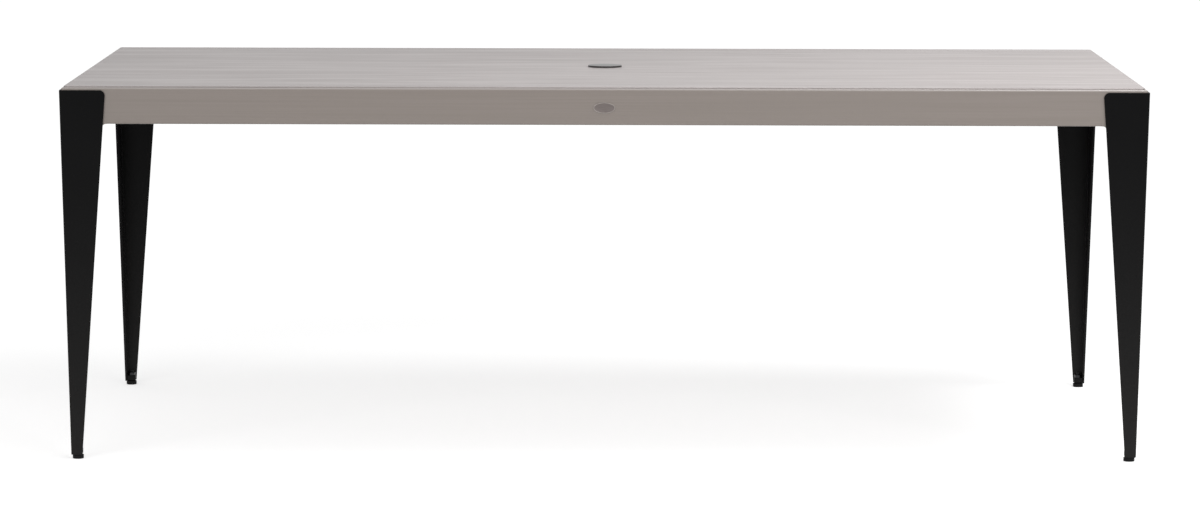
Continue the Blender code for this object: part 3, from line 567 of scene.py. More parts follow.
def point_away(bm, inside):
    """Makes the faces of an open skin point away from a point on its inner side."""
    inside = Vector(inside)
    bmesh.ops.recalc_face_normals(bm, faces=bm.faces[:])
    sides = ((face.calc_center_median() - inside).dot(face.normal) * face.calc_area() for face in bm.faces)
    if sum(sides) < 0:
        bmesh.ops.reverse_faces(bm, faces=bm.faces[:])


def with_wall(bm, wall):
    """The skin as a closed sheet whose wall grows inwards by this much."""
    mesh = bpy.data.meshes.new("skin")
    bm.to_mesh(mesh)
    skin = put_in_scene("skin", mesh)
    settle(skin.modifiers.new("wall", "SOLIDIFY"), thickness=wall, offset=-1, use_even_offset=True)
    evaluated = skin.evaluated_get(bpy.context.evaluated_depsgraph_get())
    bm.clear()
    bm.from_mesh(evaluated.to_mesh())
    evaluated.to_mesh_clear()
    bpy.data.objects.remove(skin)
    bpy.data.meshes.remove(mesh)
    return bm


def cut_off(bm, point, outward):
    """Cuts a closed shape with a plane, drops what lies outwards of it and closes the cut."""
    whole = bm.verts[:] + bm.edges[:] + bm.faces[:]
    bmesh.ops.bisect_plane(
        bm, geom=whole, dist=CUT_DISTANCE, plane_co=point, plane_no=outward, clear_outer=True
    )
    open_edges = [edge for edge in bm.edges if edge.is_boundary]
    if open_edges:
        bmesh.ops.holes_fill(bm, edges=open_edges, sides=0)


def round_corner(bm, vert, radius, segments=8):
    """Rounds one corner of a flat outline to a radius."""
    first, second = (edge.other_vert(vert).co - vert.co for edge in vert.link_edges)
    reach = radius / math.tan(first.angle(second) / 2)
    bmesh.ops.bevel(
        bm, geom=[vert], offset=reach, segments=segments, profile=0.5, affect="VERTICES", material=-1
    )


def close_up(bm, dist=MERGE_DISTANCE):
    """Merges the doubles of a closed shape and points its faces outwards."""
    bmesh.ops.remove_doubles(bm, verts=bm.verts[:], dist=dist)
    bmesh.ops.recalc_face_normals(bm, faces=bm.faces[:])
    return bm


print("mesh helpers ready")

# %% [markdown]
# ## Turned shapes and nuts
#
# Pads, the collar and the cap are turned: a profile is spun a full turn about the Z axis. A nut
# is nearly turned too, only its side is a hexagon. It is built as a stack of rings, each one
# extruded from the last and then moved out to a radius that may change with the angle.

# %% Turning
def rounded(across, up, radius, start, end, steps=4):
    """Points round a profile's corner, between two angles, in degrees up from outwards."""
    halfway = math.radians((start + end) / 2)
    across -= math.copysign(radius, math.cos(halfway))
    up -= math.copysign(radius, math.sin(halfway))
    angles = [math.radians(start + (end - start) * step / steps) for step in range(steps + 1)]
    return [(across + radius * math.cos(angle), up + radius * math.sin(angle)) for angle in angles]


def spun(profile, segments, closed=False, rise=0.0):
    """A line of (radius, height) points spun about Z, climbing by the rise in its full turn."""
    bm = bmesh.new()
    chain = [bm.verts.new((radius, 0, height)) for radius, height in profile]
    ends = chain[1:] + chain[:1] if closed else chain[1:]
    edges = [bm.edges.new(pair) for pair in zip(chain, ends)]
    climb = (0, 0, rise / segments)
    bmesh.ops.spin(
        bm, geom=chain + edges, cent=(0, 0, 0), axis=(0, 0, 1), dvec=climb, angle=math.tau,
        steps=segments, use_merge=not rise
    )
    return bm


def ring_stack(shapes, segments=72):
    """A body from rings about Z, each a function from an angle to a radius and a height.

    A ring of no radius is kept just off the axis until the doubles are merged.
    """
    bm = bmesh.new()
    bmesh.ops.create_circle(bm, segments=segments, radius=1)
    ring_verts, edges = bm.verts[:], bm.edges[:]
    for number, shape in enumerate(shapes):
        if number:
            grown = bmesh.ops.extrude_edge_only(bm, edges=edges)
            ring_verts = new_verts(grown)
            edges = outer_edges(grown, ring_verts)
        for vert in ring_verts:
            angle = math.atan2(vert.co.y, vert.co.x)
            radius, height = shape(angle)
            radius = max(radius, MERGE_DISTANCE / 4)
            vert.co = (radius * math.cos(angle), radius * math.sin(angle), height)
    return close_up(bm)


def ring(radius, height):
    return lambda angle: (radius, height)


print("turning ready")


# %% Hexagons
HAIR_EDGE = 0.0001
FINE_EDGE = 0.0002
SMALL_EDGE = 0.0004
CHAMFER_SLOPE = 0.55
HEX_CORNER = math.radians(30)


def hex_radius(angle, across_flats, corner_at):
    """The distance from a hexagon's middle to its side at an angle."""
    sixth = math.pi / 3
    off_flat = (angle - corner_at) % sixth - sixth / 2
    return across_flats / 2 / math.cos(off_flat)


def hex_ring(across_flats, height, grow=0.0):
    return lambda angle: (hex_radius(angle, across_flats, HEX_CORNER) + grow, height)


def hex_nut_rings(across_flats, bore, low, high, corner_at):
    """Rings for a hexagon nut from its bore's foot up and over to its bore's head."""
    flat = across_flats / 2 - HAIR_EDGE

    def chamfered(height, way):
        """A hexagon whose corners leave this height, up or down, the further out they are."""
        def shape(angle):
            radius = hex_radius(angle, across_flats, corner_at)
            return radius, height + way * max(0, radius - flat) * CHAMFER_SLOPE
        return shape

    return [
        ring(bore, low + SMALL_EDGE),
        ring(bore + SMALL_EDGE, low),
        ring(flat, low),
        chamfered(low, 1),
        chamfered(high, -1),
        ring(flat, high),
        ring(bore + SMALL_EDGE, high),
        ring(bore, high - SMALL_EDGE),
        ring(bore, low + SMALL_EDGE),
    ]


print("hexagon tools ready")

# %% [markdown]
# ## Screw threads
#
# A thread is a saw-tooth line that climbs by one pitch in each full turn. Spinning the line with
# a rise at every step makes exactly that, and after one turn the start of each tooth meets the
# end of the one below, so merging the doubles leaves one clean helix. Both ends are cut square.

# %% Threads
THREAD_DEPTH = 0.61
TOOTH = ((1, 0.0), (0, 0.40), (0, 0.52), (1, 0.92))


def threaded_rod(crest, pitch, low, high, segments=24):
    """A threaded rod about Z, its ends cut square and slightly pointed."""
    depth = THREAD_DEPTH * pitch
    saw = []
    height = low - 2 * pitch
    while height < high + 2 * pitch:
        saw += [(crest - sunk * depth, height + share * pitch) for sunk, share in TOOTH]
        height += pitch
    bm = close_up(spun(saw, segments, rise=pitch), MERGE_DISTANCE * 5)
    cut_off(bm, (0, 0, high), (0, 0, 1))
    cut_off(bm, (0, 0, low), (0, 0, -1))
    for vert in bm.verts:
        limit = crest - max(0, vert.co.z - (high - depth), low + depth - vert.co.z)
        radius = math.hypot(vert.co.x, vert.co.y)
        if radius > limit:
            vert.co.x *= limit / radius
            vert.co.y *= limit / radius
    bmesh.ops.recalc_face_normals(bm, faces=bm.faces[:])
    return bm


print("threads ready")

# %% [markdown]
# ## Hanging the pieces on the table
#
# Every finished mesh becomes an object at the origin, gets its finish, rides on its body, and
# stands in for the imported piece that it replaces. Real edges are never razor sharp, so sheet
# metal also gets a narrow Bevel, and a Weighted Normal keeps its broad faces looking flat.

# %% Hanging a piece
SHEET_EDGE = 0.0003
LEG_EDGE = 0.0005
PANEL_EDGE = 0.0009


def hang(name, bm, place, finish, slot, tag="", node=None, body="table", edge=0.0, segments=3):
    """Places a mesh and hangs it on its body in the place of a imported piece.

    A tag, such as a corner's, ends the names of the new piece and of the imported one, whose name
    starts as its slot does where none is given.
    """
    bmesh.ops.transform(bm, matrix=place, verts=bm.verts[:])
    mesh = bpy.data.meshes.new(name + tag)
    bm.to_mesh(mesh)
    bm.free()
    mesh.materials.append(finish)
    mesh.shade_smooth()
    piece = put_in_scene(name + tag, mesh)
    if edge:
        bevel = piece.modifiers.new("soft_edge", "BEVEL")
        settle(bevel, width=edge, segments=segments, use_clamp_overlap=False)
        settle(bevel, limit_method="ANGLE", angle_limit=SHARP_ANGLE)
        piece.modifiers.new("flat_faces", "WEIGHTED_NORMAL").weight = 80
    else:
        mesh.set_sharp_from_angle(angle=SHARP_ANGLE)
    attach(piece, body)
    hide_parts(node or slot + tag)
    return piece


print("edges, in mm:", mm(SHEET_EDGE), mm(LEG_EDGE), mm(PANEL_EDGE))

# %% [markdown]
# ## The top sheet
#
# The top is one flat 2 mm sheet with small rounded corners and a hole in the middle for an
# umbrella pole. A grid face with its corner vertices bevelled gives the outline. The face is
# then dropped but its edges kept, a circle is drawn inside, and a fill spans between the two.

# %% Top sheet
PANEL_THICKNESS = 0.0020
PANEL_CORNER_RADIUS = 0.0040
COLLAR_BORE = 0.0210
COLLAR_TUBE = 0.0228
POLE_HOLE = COLLAR_TUBE + FIT_GAP


def flat_sheet_with_hole(half_x, half_y, height, corner_radius, hole_radius):
    """A flat face with rounded corners and, where a radius is given, a round hole."""
    bm = bmesh.new()
    bmesh.ops.create_grid(bm, x_segments=1, y_segments=1, size=1)
    bmesh.ops.scale(bm, vec=(half_x, half_y, 1), verts=bm.verts[:])
    if corner_radius:
        for vert in bm.verts[:]:
            round_corner(bm, vert, corner_radius)
    if hole_radius:
        bmesh.ops.delete(bm, geom=bm.faces[:], context="FACES_ONLY")
        bmesh.ops.create_circle(bm, segments=96, radius=hole_radius)
        bmesh.ops.triangle_fill(bm, use_beauty=True, edges=bm.edges[:])
    bmesh.ops.translate(bm, vec=(0, 0, height), verts=bm.verts[:])
    point_away(bm, (0, 0, height - 1))
    return bm


half_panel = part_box("top_panel")[1]
sheet = flat_sheet_with_hole(half_panel.x, half_panel.y, half_panel.z, PANEL_CORNER_RADIUS, POLE_HOLE)
sheet = with_wall(sheet, PANEL_THICKNESS + FIT_GAP)
hang("top_sheet", sheet, Matrix.Identity(4), TOP_PAINT, "top_panel", edge=PANEL_EDGE, segments=5)
print("top sheet, in mm:", mm(half_panel.x * 2), "by", mm(half_panel.y * 2))

# %% [markdown]
# ## The aprons
#
# Each apron is one folded sheet. Its wall shows outside, a ledge at the top carries the table
# top, a short lip stiffens the lower edge, and at each end an ear runs down behind the leg.
# The wall and ears are drawn flat as one outline and then folded edge by edge, as on a press
# brake: an edge is extruded and swung round the bend's centre a few degrees at a time.

# %% Folding
def fold_over(bm, edges, centre, angle, steps, flat):
    """Rolls free edges round a line along X through a centre, then runs them out by a vector."""
    turn = Matrix.Rotation(angle / steps, 3, "X")
    for _ in range(steps):
        grown = bmesh.ops.extrude_edge_only(bm, edges=edges)
        verts = new_verts(grown)
        bmesh.ops.rotate(bm, verts=verts, cent=centre, matrix=turn)
        edges = outer_edges(grown, verts)
    grown = bmesh.ops.extrude_edge_only(bm, edges=edges)
    bmesh.ops.translate(bm, verts=new_verts(grown), vec=flat)


print("folding ready")

# %% Apron sheet
LEG_THICKNESS = 0.0040
APRON_THICKNESS = 0.0025
APRON_INSET = LEG_THICKNESS + FIT_GAP
TOP_BEND = 0.0045
BOTTOM_BEND = 0.0035
LEDGE_WIDTH = 0.0260
LIP_WIDTH = 0.0220
EAR_WING = 0.0100
EAR_FILLET_RADIUS = 0.0078
EAR_TIP_RADIUS = 0.0080
WALL_FACE = APRON_INSET / math.cos(RAKE_ANGLE)
SQUARE = math.pi / 2


def apron_wall(length):
    """The flat wall with its two ears, in the leaning plane of a side, and its vertices."""
    wing = ear_edge(APRON_BOTTOM) + EAR_WING
    half = [
        (0, APRON_TOP - TOP_BEND * (1 + math.sin(RAKE_ANGLE))),
        (0, EAR_BOTTOM),
        (ear_edge(EAR_BOTTOM), EAR_BOTTOM),
        (ear_edge(APRON_BOTTOM), APRON_BOTTOM),
        (wing, APRON_BOTTOM),
        (wing, APRON_BOTTOM + BOTTOM_BEND * (1 - math.sin(RAKE_ANGLE))),
    ]
    outline = [(across - length / 2, up) for across, up in half]
    outline += [(length / 2 - across, up) for across, up in reversed(half)]
    bm = bmesh.new()
    verts = [bm.verts.new((across, WALL_FACE + rake(up), up)) for across, up in outline]
    bm.faces.new(verts)
    return bm, verts


def apron_sheet(length):
    """One apron in its side's frame: wall, ears, lip and ledge."""
    bm, verts = apron_wall(length)
    lip, ledge = bm.edges.get((verts[5], verts[6])), bm.edges.get((verts[0], verts[-1]))
    for line, bend, width, angle, steps in (
        (lip, BOTTOM_BEND, LIP_WIDTH, SQUARE - RAKE_ANGLE, 8),
        (ledge, TOP_BEND, LEDGE_WIDTH, -SQUARE - RAKE_ANGLE, 10),
    ):
        fold_over(bm, [line], line.verts[0].co + INWARD * bend, angle, steps, (0, width - bend, 0))
    ear_radii = {2: EAR_TIP_RADIUS, 3: EAR_FILLET_RADIUS, 8: EAR_FILLET_RADIUS, 9: EAR_TIP_RADIUS}
    for number, radius in ear_radii.items():
        round_corner(bm, verts[number], radius)
    point_away(bm, (0, FAR_INSIDE, APRON_BOTTOM / 2 + APRON_TOP / 2))
    return with_wall(bm, APRON_THICKNESS)


print("apron wall stands", mm(WALL_FACE), "mm behind the leg's outer plane")

# %% Aprons
LEG_BEND = 0.0060
LEG_INNER_BEND = 0.0020
CORNER_RELIEF = LEG_BEND * math.sqrt(2) - LEG_INNER_BEND + FIT_GAP


def mitre_ends(bm, length):
    """Mitres both ends to the corner's diagonal, and clears the inner bend of the leg."""
    clear = CORNER_RELIEF / math.sqrt(2)
    for end in (-1, 1):
        corner = end * length / 2
        cut_off(bm, (corner - end * FIT_GAP / 2, 0, 0), (end, 1, 0))
        cut_off(bm, (corner - end * clear, clear, LEG_TOP), (end, -1, -2 * RAKE_SLOPE))


for side, spot in SIDES.items():
    length = TABLE_WIDTH if side in ("left", "right") else TABLE_LENGTH
    apron = apron_sheet(length)
    mitre_ends(apron, length)
    node = side + "_apron"
    hang(node + "_sheet", apron, place_at(*spot), APRON_PAINT, "apron", node=node, edge=SHEET_EDGE)
    print(side, "apron:", mm(length), "mm")

# %% [markdown]
# ## Folded corner plates: legs and brackets
#
# A leg is one plate folded down its middle, and a bracket inside the frame is the same idea in
# small. The fold line is a single edge that is extruded once along each side and then bevelled
# to the bend's radius. The free corners are rounded, and the plate gets its wall last.

# %% Corner plates
def corner_plate(top, bottom, edge, inset, wall, bend, top_radius, bottom_radius):
    """An L plate in the two leaning planes of a corner."""
    level = inset / math.cos(RAKE_ANGLE)
    bm = bmesh.new()
    fold = bm.edges.new([bm.verts.new((level + rake(z), level + rake(z), z)) for z in (bottom, top)])
    free_corners = []
    for axis in (0, 1):
        grown = bmesh.ops.extrude_edge_only(bm, edges=[fold])
        for vert in new_verts(grown):
            vert.co[axis] = edge(vert.co.z)
            free_corners.append((vert, top_radius if vert.co.z > (top + bottom) / 2 else bottom_radius))
    for vert, radius in free_corners:
        if radius:
            round_corner(bm, vert, radius, 10)
    bmesh.ops.bevel(bm, geom=[fold], offset=bend, segments=12, profile=0.5, affect="EDGES", material=-1)
    point_away(bm, (FAR_INSIDE, FAR_INSIDE, (top + bottom) / 2))
    return with_wall(bm, wall)


print("corner plates ready")

# %% Legs and brackets
LEG_CORNER_RADIUS = 0.0106
BRACKET_THICKNESS = 0.0030
BRACKET_BEND = 0.0050
BRACKET_CORNER_RADIUS = 0.0060
EAR_THICKNESS = 0.0030
EAR_SET_BACK = 0.0001
BRACKET_INSET = APRON_INSET + EAR_SET_BACK + EAR_THICKNESS + FIT_GAP
BRACKET_BOTTOM, BRACKET_TOP = heights("corner_bracket_front_left")

for corner, spot in CORNERS.items():
    place, tag = place_at(*spot), "_" + corner
    leg = corner_plate(LEG_TOP, LEG_FOOT, leg_edge, 0, LEG_THICKNESS, LEG_BEND, LEG_CORNER_RADIUS, 0)
    hang("leg_plate", leg, place, LEG_PAINT, "leg", tag, edge=LEG_EDGE)
    bracket = corner_plate(
        BRACKET_TOP, BRACKET_BOTTOM, bracket_edge, BRACKET_INSET, BRACKET_THICKNESS, BRACKET_BEND,
        BRACKET_CORNER_RADIUS, BRACKET_CORNER_RADIUS
    )
    hang("inner_bracket", bracket, place, HIDDEN_PAINT, "corner_bracket", tag, edge=SHEET_EDGE)
print("legs stand", mm(LEG_FOOT), "mm above the floor")

# %% [markdown]
# ## Studs and flange nuts
#
# Four studs are welded inside each leg. They pass through the ear and the bracket, and a flange
# nut on each clamps the three sheets together. The studs are real threads, and each nut is a
# ring stack whose first rings are its round flange.

# %% Studs and nuts
STUD_RADIUS = 0.0030
STUD_PITCH = 0.0010
STUD_INSET = 0.0450
STUD_MARGIN = 0.0190
STUD_WELD_DEPTH = 0.0010
STUD_PROUD = 0.0015
NUT_ACROSS_FLATS = 0.0100
NUT_HEIGHT = 0.0060
NUT_FLANGE = 0.0066
NUT_FLANGE_THICKNESS = 0.0012
NUT_FLANGE_RIM = NUT_FLANGE_THICKNESS * 0.6
NUT_FLANGE_SLOPE = 0.0003
NUT_NECK = 0.0005
NUT_SEAT = BRACKET_INSET + BRACKET_THICKNESS + FIT_GAP
STUD_ROOT = LEG_THICKNESS - STUD_WELD_DEPTH - NUT_SEAT
STUD_ROWS = {"upper": BRACKET_TOP - STUD_MARGIN, "lower": BRACKET_BOTTOM + STUD_MARGIN}
LIE_DOWN = SQUARE - RAKE_ANGLE


def flange_nut():
    """A hexagon nut on its own washer flange, standing on its origin."""
    rings = hex_nut_rings(NUT_ACROSS_FLATS, STUD_RADIUS, 0, NUT_HEIGHT, HEX_CORNER)
    flange = [
        ring(NUT_FLANGE - FINE_EDGE, 0),
        ring(NUT_FLANGE, FINE_EDGE),
        ring(NUT_FLANGE, NUT_FLANGE_RIM),
        ring(NUT_FLANGE - NUT_FLANGE_SLOPE, NUT_FLANGE_THICKNESS),
        hex_ring(NUT_ACROSS_FLATS, NUT_FLANGE_THICKNESS + NUT_NECK),
    ]
    return ring_stack(rings[:2] + flange + rings[4:])


def seats(place):
    """Where the four nuts of a corner sit: on both plates, in both rows."""
    for row, height in STUD_ROWS.items():
        foot = normal_line(STUD_INSET, height, NUT_SEAT)
        yield row + "_a", place @ move(foot) @ Matrix.Rotation(-LIE_DOWN, 4, "X")
        foot = Vector((foot.y, foot.x, foot.z))
        yield row + "_b", place @ move(foot) @ Matrix.Rotation(LIE_DOWN, 4, "Y")


for corner, spot in CORNERS.items():
    for row, seat in seats(place_at(*spot)):
        tag = f"_{corner}_{row}"
        hang("flange_nut", flange_nut(), seat, ZINC, "leg_nut", tag)
        stud = threaded_rod(STUD_RADIUS, STUD_PITCH, STUD_ROOT, NUT_HEIGHT + STUD_PROUD)
        hang("welded_stud", stud, seat, ZINC, "leg_nut", tag, node="leg_" + corner)
print("nuts:", 4 * len(CORNERS))

# %% [markdown]
# ## Cross rails and their foam strips
#
# Three channels run under the top from ledge to ledge and keep the sheet from drumming. Each is
# a flat web whose two long edges are folded down. A strip of foam on the web touches the sheet.
# The middle rail is wider, because the pole way goes through it.

# %% Rails and foam strips
RAIL_THICKNESS = 0.0020
RAIL_BEND = 0.0035
FOAM_CORNER_RADIUS = 0.0020
RAILS = {"left": 0, "centre": POLE_HOLE, "right": 0}


def channel(half_length, width, top, bottom, hole_radius):
    """A channel that lies along X and is open below."""
    half_web = width / 2 - RAIL_BEND
    bm = flat_sheet_with_hole(half_length, half_web, top, 0, hole_radius)
    for side in (-1, 1):
        across = side * half_web
        rim = (edge for edge in bm.edges if edge.is_boundary)
        fold = [e for e in rim if all(abs(vert.co.y - across) < MERGE_DISTANCE for vert in e.verts)]
        centre = (0, across, top - RAIL_BEND)
        fold_over(bm, fold, centre, -side * SQUARE, 8, (0, 0, bottom - top + RAIL_BEND))
    point_away(bm, (0, 0, bottom))
    return with_wall(bm, RAIL_THICKNESS)


for rail, hole in RAILS.items():
    tag = "_" + rail
    low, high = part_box("cross_rail" + tag)
    shape = channel((high.y - low.y) / 2, high.x - low.x, high.z, low.z, hole)
    place = over_floor(low, high) @ quarter_turns(1)
    hang("channel_rail", shape, place, HIDDEN_PAINT, "cross_rail", tag, edge=SHEET_EDGE)
    print(rail, "rail is", mm(high.x - low.x), "mm wide")
for rail, hole in RAILS.items():
    tag = "_" + rail
    low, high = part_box("damping_strip" + tag)
    half_x, half_y = (high.x - low.x) / 2, (high.y - low.y) / 2
    strip = flat_sheet_with_hole(half_x, half_y, high.z, FOAM_CORNER_RADIUS, hole)
    strip = with_wall(strip, high.z - low.z)
    hang("foam_strip", strip, over_floor(low, high), FOAM, "damping_strip", tag, edge=SMALL_EDGE)

# %% [markdown]
# ## Rail screws
#
# A round-headed socket screw at each rail end holds the rail up to the ledge, head down. The
# head is a ring stack from the socket's floor out over the dome, so the hexagon of the key is
# part of the same mesh as the round head.

# %% Screws
SCREW_RADIUS = 0.00175
SCREW_HEAD = 0.0035
SCREW_HEAD_HEIGHT = 0.0024
SCREW_KEY = 0.0025
SCREW_KEY_DEPTH = 0.0013
SCREW_DOME = 0.0015


def socket_screw(shank_top):
    """A screw hanging from its origin, its head below and its shank above."""
    end = -FIT_GAP - SCREW_HEAD_HEIGHT
    floor = end + SCREW_KEY_DEPTH
    socket = [
        ring(0, floor),
        hex_ring(SCREW_KEY, floor),
        hex_ring(SCREW_KEY, end + HAIR_EDGE),
        hex_ring(SCREW_KEY, end, grow=HAIR_EDGE),
    ]
    dome = [ring(*point) for point in rounded(SCREW_HEAD, end, SCREW_DOME, -90, 0, 6)]
    shank = [
        ring(SCREW_HEAD, -FIT_GAP - HAIR_EDGE),
        ring(SCREW_HEAD - HAIR_EDGE, -FIT_GAP),
        ring(SCREW_RADIUS, -FIT_GAP),
        ring(SCREW_RADIUS, shank_top - SMALL_EDGE),
        ring(SCREW_RADIUS - SMALL_EDGE, shank_top),
        ring(0, shank_top),
    ]
    return ring_stack(socket + dome + shank, 48)


for tag in [f"_{rail}_{end}" for rail in RAILS for end in ("front", "rear")]:
    low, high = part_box("rail_screw" + tag)
    seat = over_floor(low, high) @ move((0, 0, low.z + FIT_GAP + SCREW_HEAD_HEIGHT))
    hang("socket_screw", socket_screw(high.z - seat.translation.z), seat, ZINC, "rail_screw", tag)
print("screws:", 2 * len(RAILS))

# %% [markdown]
# ## The umbrella collar and its cap
#
# A plastic collar lines the hole, its flange resting on the sheet. The cap that closes it shows
# in the photograph as a thin dark disc: a slightly domed lid with a thick rim, and a skirt that
# drops into the collar. Both are turned from profiles with their small edges rounded.

# %% Collar
FLANGE_THICKNESS = 0.0012
COLLAR_LENGTH = 0.0320
CAP_RADIUS = 0.0350
CAP_RIM_WALL = 0.0027
FLANGE_RADIUS = CAP_RADIUS - CAP_RIM_WALL - FIT_GAP


def collar_body():
    """The lining of the pole way, its origin in the middle of the top face."""
    top = FIT_GAP + FLANGE_THICKNESS
    profile = [
        *rounded(FLANGE_RADIUS, top, SMALL_EDGE, 90, 0),
        (FLANGE_RADIUS, FIT_GAP),
        (COLLAR_TUBE, FIT_GAP),
        *rounded(COLLAR_TUBE, -COLLAR_LENGTH, SMALL_EDGE, 0, -90),
        *rounded(COLLAR_BORE, -COLLAR_LENGTH, SMALL_EDGE, -90, -180),
        *rounded(COLLAR_BORE, top, SMALL_EDGE, 180, 90),
    ]
    return close_up(spun(profile, 96, closed=True))


pole_axis = move((0, 0, TOP_FACE))
hang("pole_collar", collar_body(), pole_axis, PLASTIC, "umbrella_collar")
print("collar bore:", mm(COLLAR_BORE * 2), "mm")

# %% Cap
CAP_HEIGHT = 0.0034
CAP_DOME = 0.0006
CAP_EDGE = 0.0010
CAP_SKIRT_WALL = 0.0016
CAP_SKIRT_LENGTH = 0.0120
CAP_CEILING = 0.0005


def cap_body():
    """The lid of the pole way, its origin in the middle of the top face."""
    rim = FIT_GAP + CAP_HEIGHT
    ceiling = FIT_GAP + FLANGE_THICKNESS + FIT_GAP
    skirt = COLLAR_BORE - FIT_GAP
    crown = CAP_RADIUS - CAP_EDGE
    profile = [
        *((crown * step / 10, rim + CAP_DOME * (1 - (step / 10) ** 2)) for step in range(10)),
        *rounded(CAP_RADIUS, rim, CAP_EDGE, 90, 0, 8),
        *rounded(CAP_RADIUS, FIT_GAP, FINE_EDGE, 0, -90, 2),
        (CAP_RADIUS - CAP_RIM_WALL, FIT_GAP),
        (CAP_RADIUS - CAP_RIM_WALL, ceiling),
        (skirt, ceiling),
        *rounded(skirt, -CAP_SKIRT_LENGTH, SMALL_EDGE, 0, -90),
        (skirt - CAP_SKIRT_WALL, -CAP_SKIRT_LENGTH),
        (skirt - CAP_SKIRT_WALL, CAP_CEILING),
        (0, CAP_CEILING),
    ]
    return close_up(spun(profile, 120))


lid = "umbrella_cap"
hang("pole_cap", cap_body(), pole_axis, PLASTIC, lid, node="umbrella_hole_cap", body=lid)
print("cap:", mm(CAP_RADIUS * 2), "mm across")

# %% [markdown]
# ## The feet
#
# Inside the bottom of each leg sits a nylon block. A threaded stem runs through it, locked by a
# jam nut, and carries a round pad on the floor. Turning the stem lets the pad down, so the pad
# rides on the body that travels, and the stem on the body that turns.

# %% Pad and jam nut
PAD_RADIUS = 0.0110
PAD_HEIGHT = 0.0080
PAD_FLOOR = 0.0020
PAD_TOP_EDGE = 0.0008
PAD_FOOT_EDGE = 0.0010
PAD_SOCKET_EDGE = 0.0003
STEM_RADIUS = 0.0050
STEM_PITCH = 0.0015
STEM_HOLE = STEM_RADIUS + FIT_GAP
STEM_LOW, STEM_HIGH = heights("glide_stem_front_left")
JAM_NUT_ACROSS_FLATS = 0.0160
JAM_NUT_CORNER = HEX_CORNER + math.radians(15)


def pad_body():
    """A moulded pad with a rounded edge and a socket for the stem."""
    profile = [
        (0, PAD_FLOOR),
        (STEM_HOLE, PAD_FLOOR),
        (STEM_HOLE, PAD_HEIGHT - PAD_SOCKET_EDGE),
        (STEM_HOLE + PAD_SOCKET_EDGE, PAD_HEIGHT),
        *rounded(PAD_RADIUS, PAD_HEIGHT, PAD_TOP_EDGE, 90, 0, 5),
        *rounded(PAD_RADIUS, 0, PAD_FOOT_EDGE, 0, -90, 5),
        (0, 0),
    ]
    return close_up(spun(profile, 72))


def jam_nut():
    low, high = heights("jam_nut_front_left")
    return ring_stack(hex_nut_rings(JAM_NUT_ACROSS_FLATS, STEM_HOLE, low, high, JAM_NUT_CORNER))


print("stem runs from", mm(STEM_LOW), "to", mm(STEM_HIGH), "mm above the floor")

# %% Foot block, and the feet put together
BLOCK_RADII = (0.0020, 0.0010, 0.0030, 0.0010)


def foot_block():
    """The nylon block that fills a leg's foot, in its corner's frame, from the leg's fold round."""
    low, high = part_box("foot_block_front_left")
    near = WALL_FACE + rake(low.z)
    far = near + high.x - low.x
    outline = ((near, near), (far, near), (far, far), (near, far))
    bm = bmesh.new()
    verts = [bm.verts.new((x, y, high.z)) for x, y in outline]
    bm.faces.new(verts)
    for vert, radius in zip(verts, BLOCK_RADII):
        round_corner(bm, vert, radius, 6)
    point_away(bm, (0, 0, 0))
    return with_wall(bm, high.z - low.z)


for corner, spot in CORNERS.items():
    tag = "_" + corner
    axis = over_floor(*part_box("glide_pad" + tag))
    hang("floor_pad", pad_body(), axis, NYLON, "glide_pad", tag, body="glide_pad_body" + tag)
    stem = threaded_rod(STEM_RADIUS, STEM_PITCH, STEM_LOW, STEM_HIGH, 36)
    hang("threaded_stem", stem, axis, BLACK_ZINC, "glide_stem", tag, body="glide_stem_body" + tag)
    hang("lock_nut", jam_nut(), axis @ quarter_turns(spot[2]), BLACK_ZINC, "jam_nut", tag)
    hang("nylon_block", foot_block(), place_at(*spot), NYLON, "foot_block", tag, edge=SMALL_EDGE)
print("feet:", len(CORNERS))

# %% [markdown]
# ## The bare badge
#
# A small oval plate, bare here, sits in the middle of the front apron. It is a stack of oval
# rings: a rounded rim, then a shallow dished face, in two shades of the same metal, the rim's
# paler shade a painted highlight.

# %% Badge
BADGE_WIDTH = 0.0430
BADGE_HEIGHT = 0.0220
BADGE_THICKNESS = 0.0014
BADGE_RIM = 0.0016
BADGE_RECESS = 0.0005
BADGE_DROP = 0.0405
BADGE_DISH = 0.0006
BADGE_ROUNDING = 0.0005
DISH_START = BADGE_RIM + 0.0006
DISH_STEP = 0.0013
DISH_STEPS = 6


def oval_radius(angle, inset):
    """The distance from the middle to an oval that is this much smaller all round."""
    across, up = BADGE_WIDTH / 2 - inset, BADGE_HEIGHT / 2 - inset
    return 1 / math.hypot(math.cos(angle) / across, math.sin(angle) / up)


def oval_ring(inset, up):
    return lambda angle: (oval_radius(angle, inset), up)


def badge_plate():
    """An oval plate with a raised rim and a slightly dished face, lying on its back."""
    face = BADGE_THICKNESS - BADGE_RECESS
    soft = BADGE_ROUNDING * 0.3
    steps = [
        (FINE_EDGE, 0.0),
        (0.0, FINE_EDGE),
        (0.0, BADGE_THICKNESS - BADGE_ROUNDING),
        (soft, BADGE_THICKNESS - soft),
        (BADGE_ROUNDING, BADGE_THICKNESS),
        (BADGE_RIM - SMALL_EDGE, BADGE_THICKNESS),
        (BADGE_RIM, BADGE_THICKNESS - HAIR_EDGE),
        (BADGE_RIM + FINE_EDGE, face + HAIR_EDGE),
        (DISH_START, face),
    ]
    for step in range(1, DISH_STEPS):
        sunk = BADGE_DISH * (1 - (1 - step / DISH_STEPS) ** 2)
        steps.append((DISH_START + DISH_STEP * step, face - sunk))
    ovals = [oval_ring(*step) for step in steps]
    return ring_stack([ring(0, 0), *ovals, ring(0, face - BADGE_DISH)], 96)


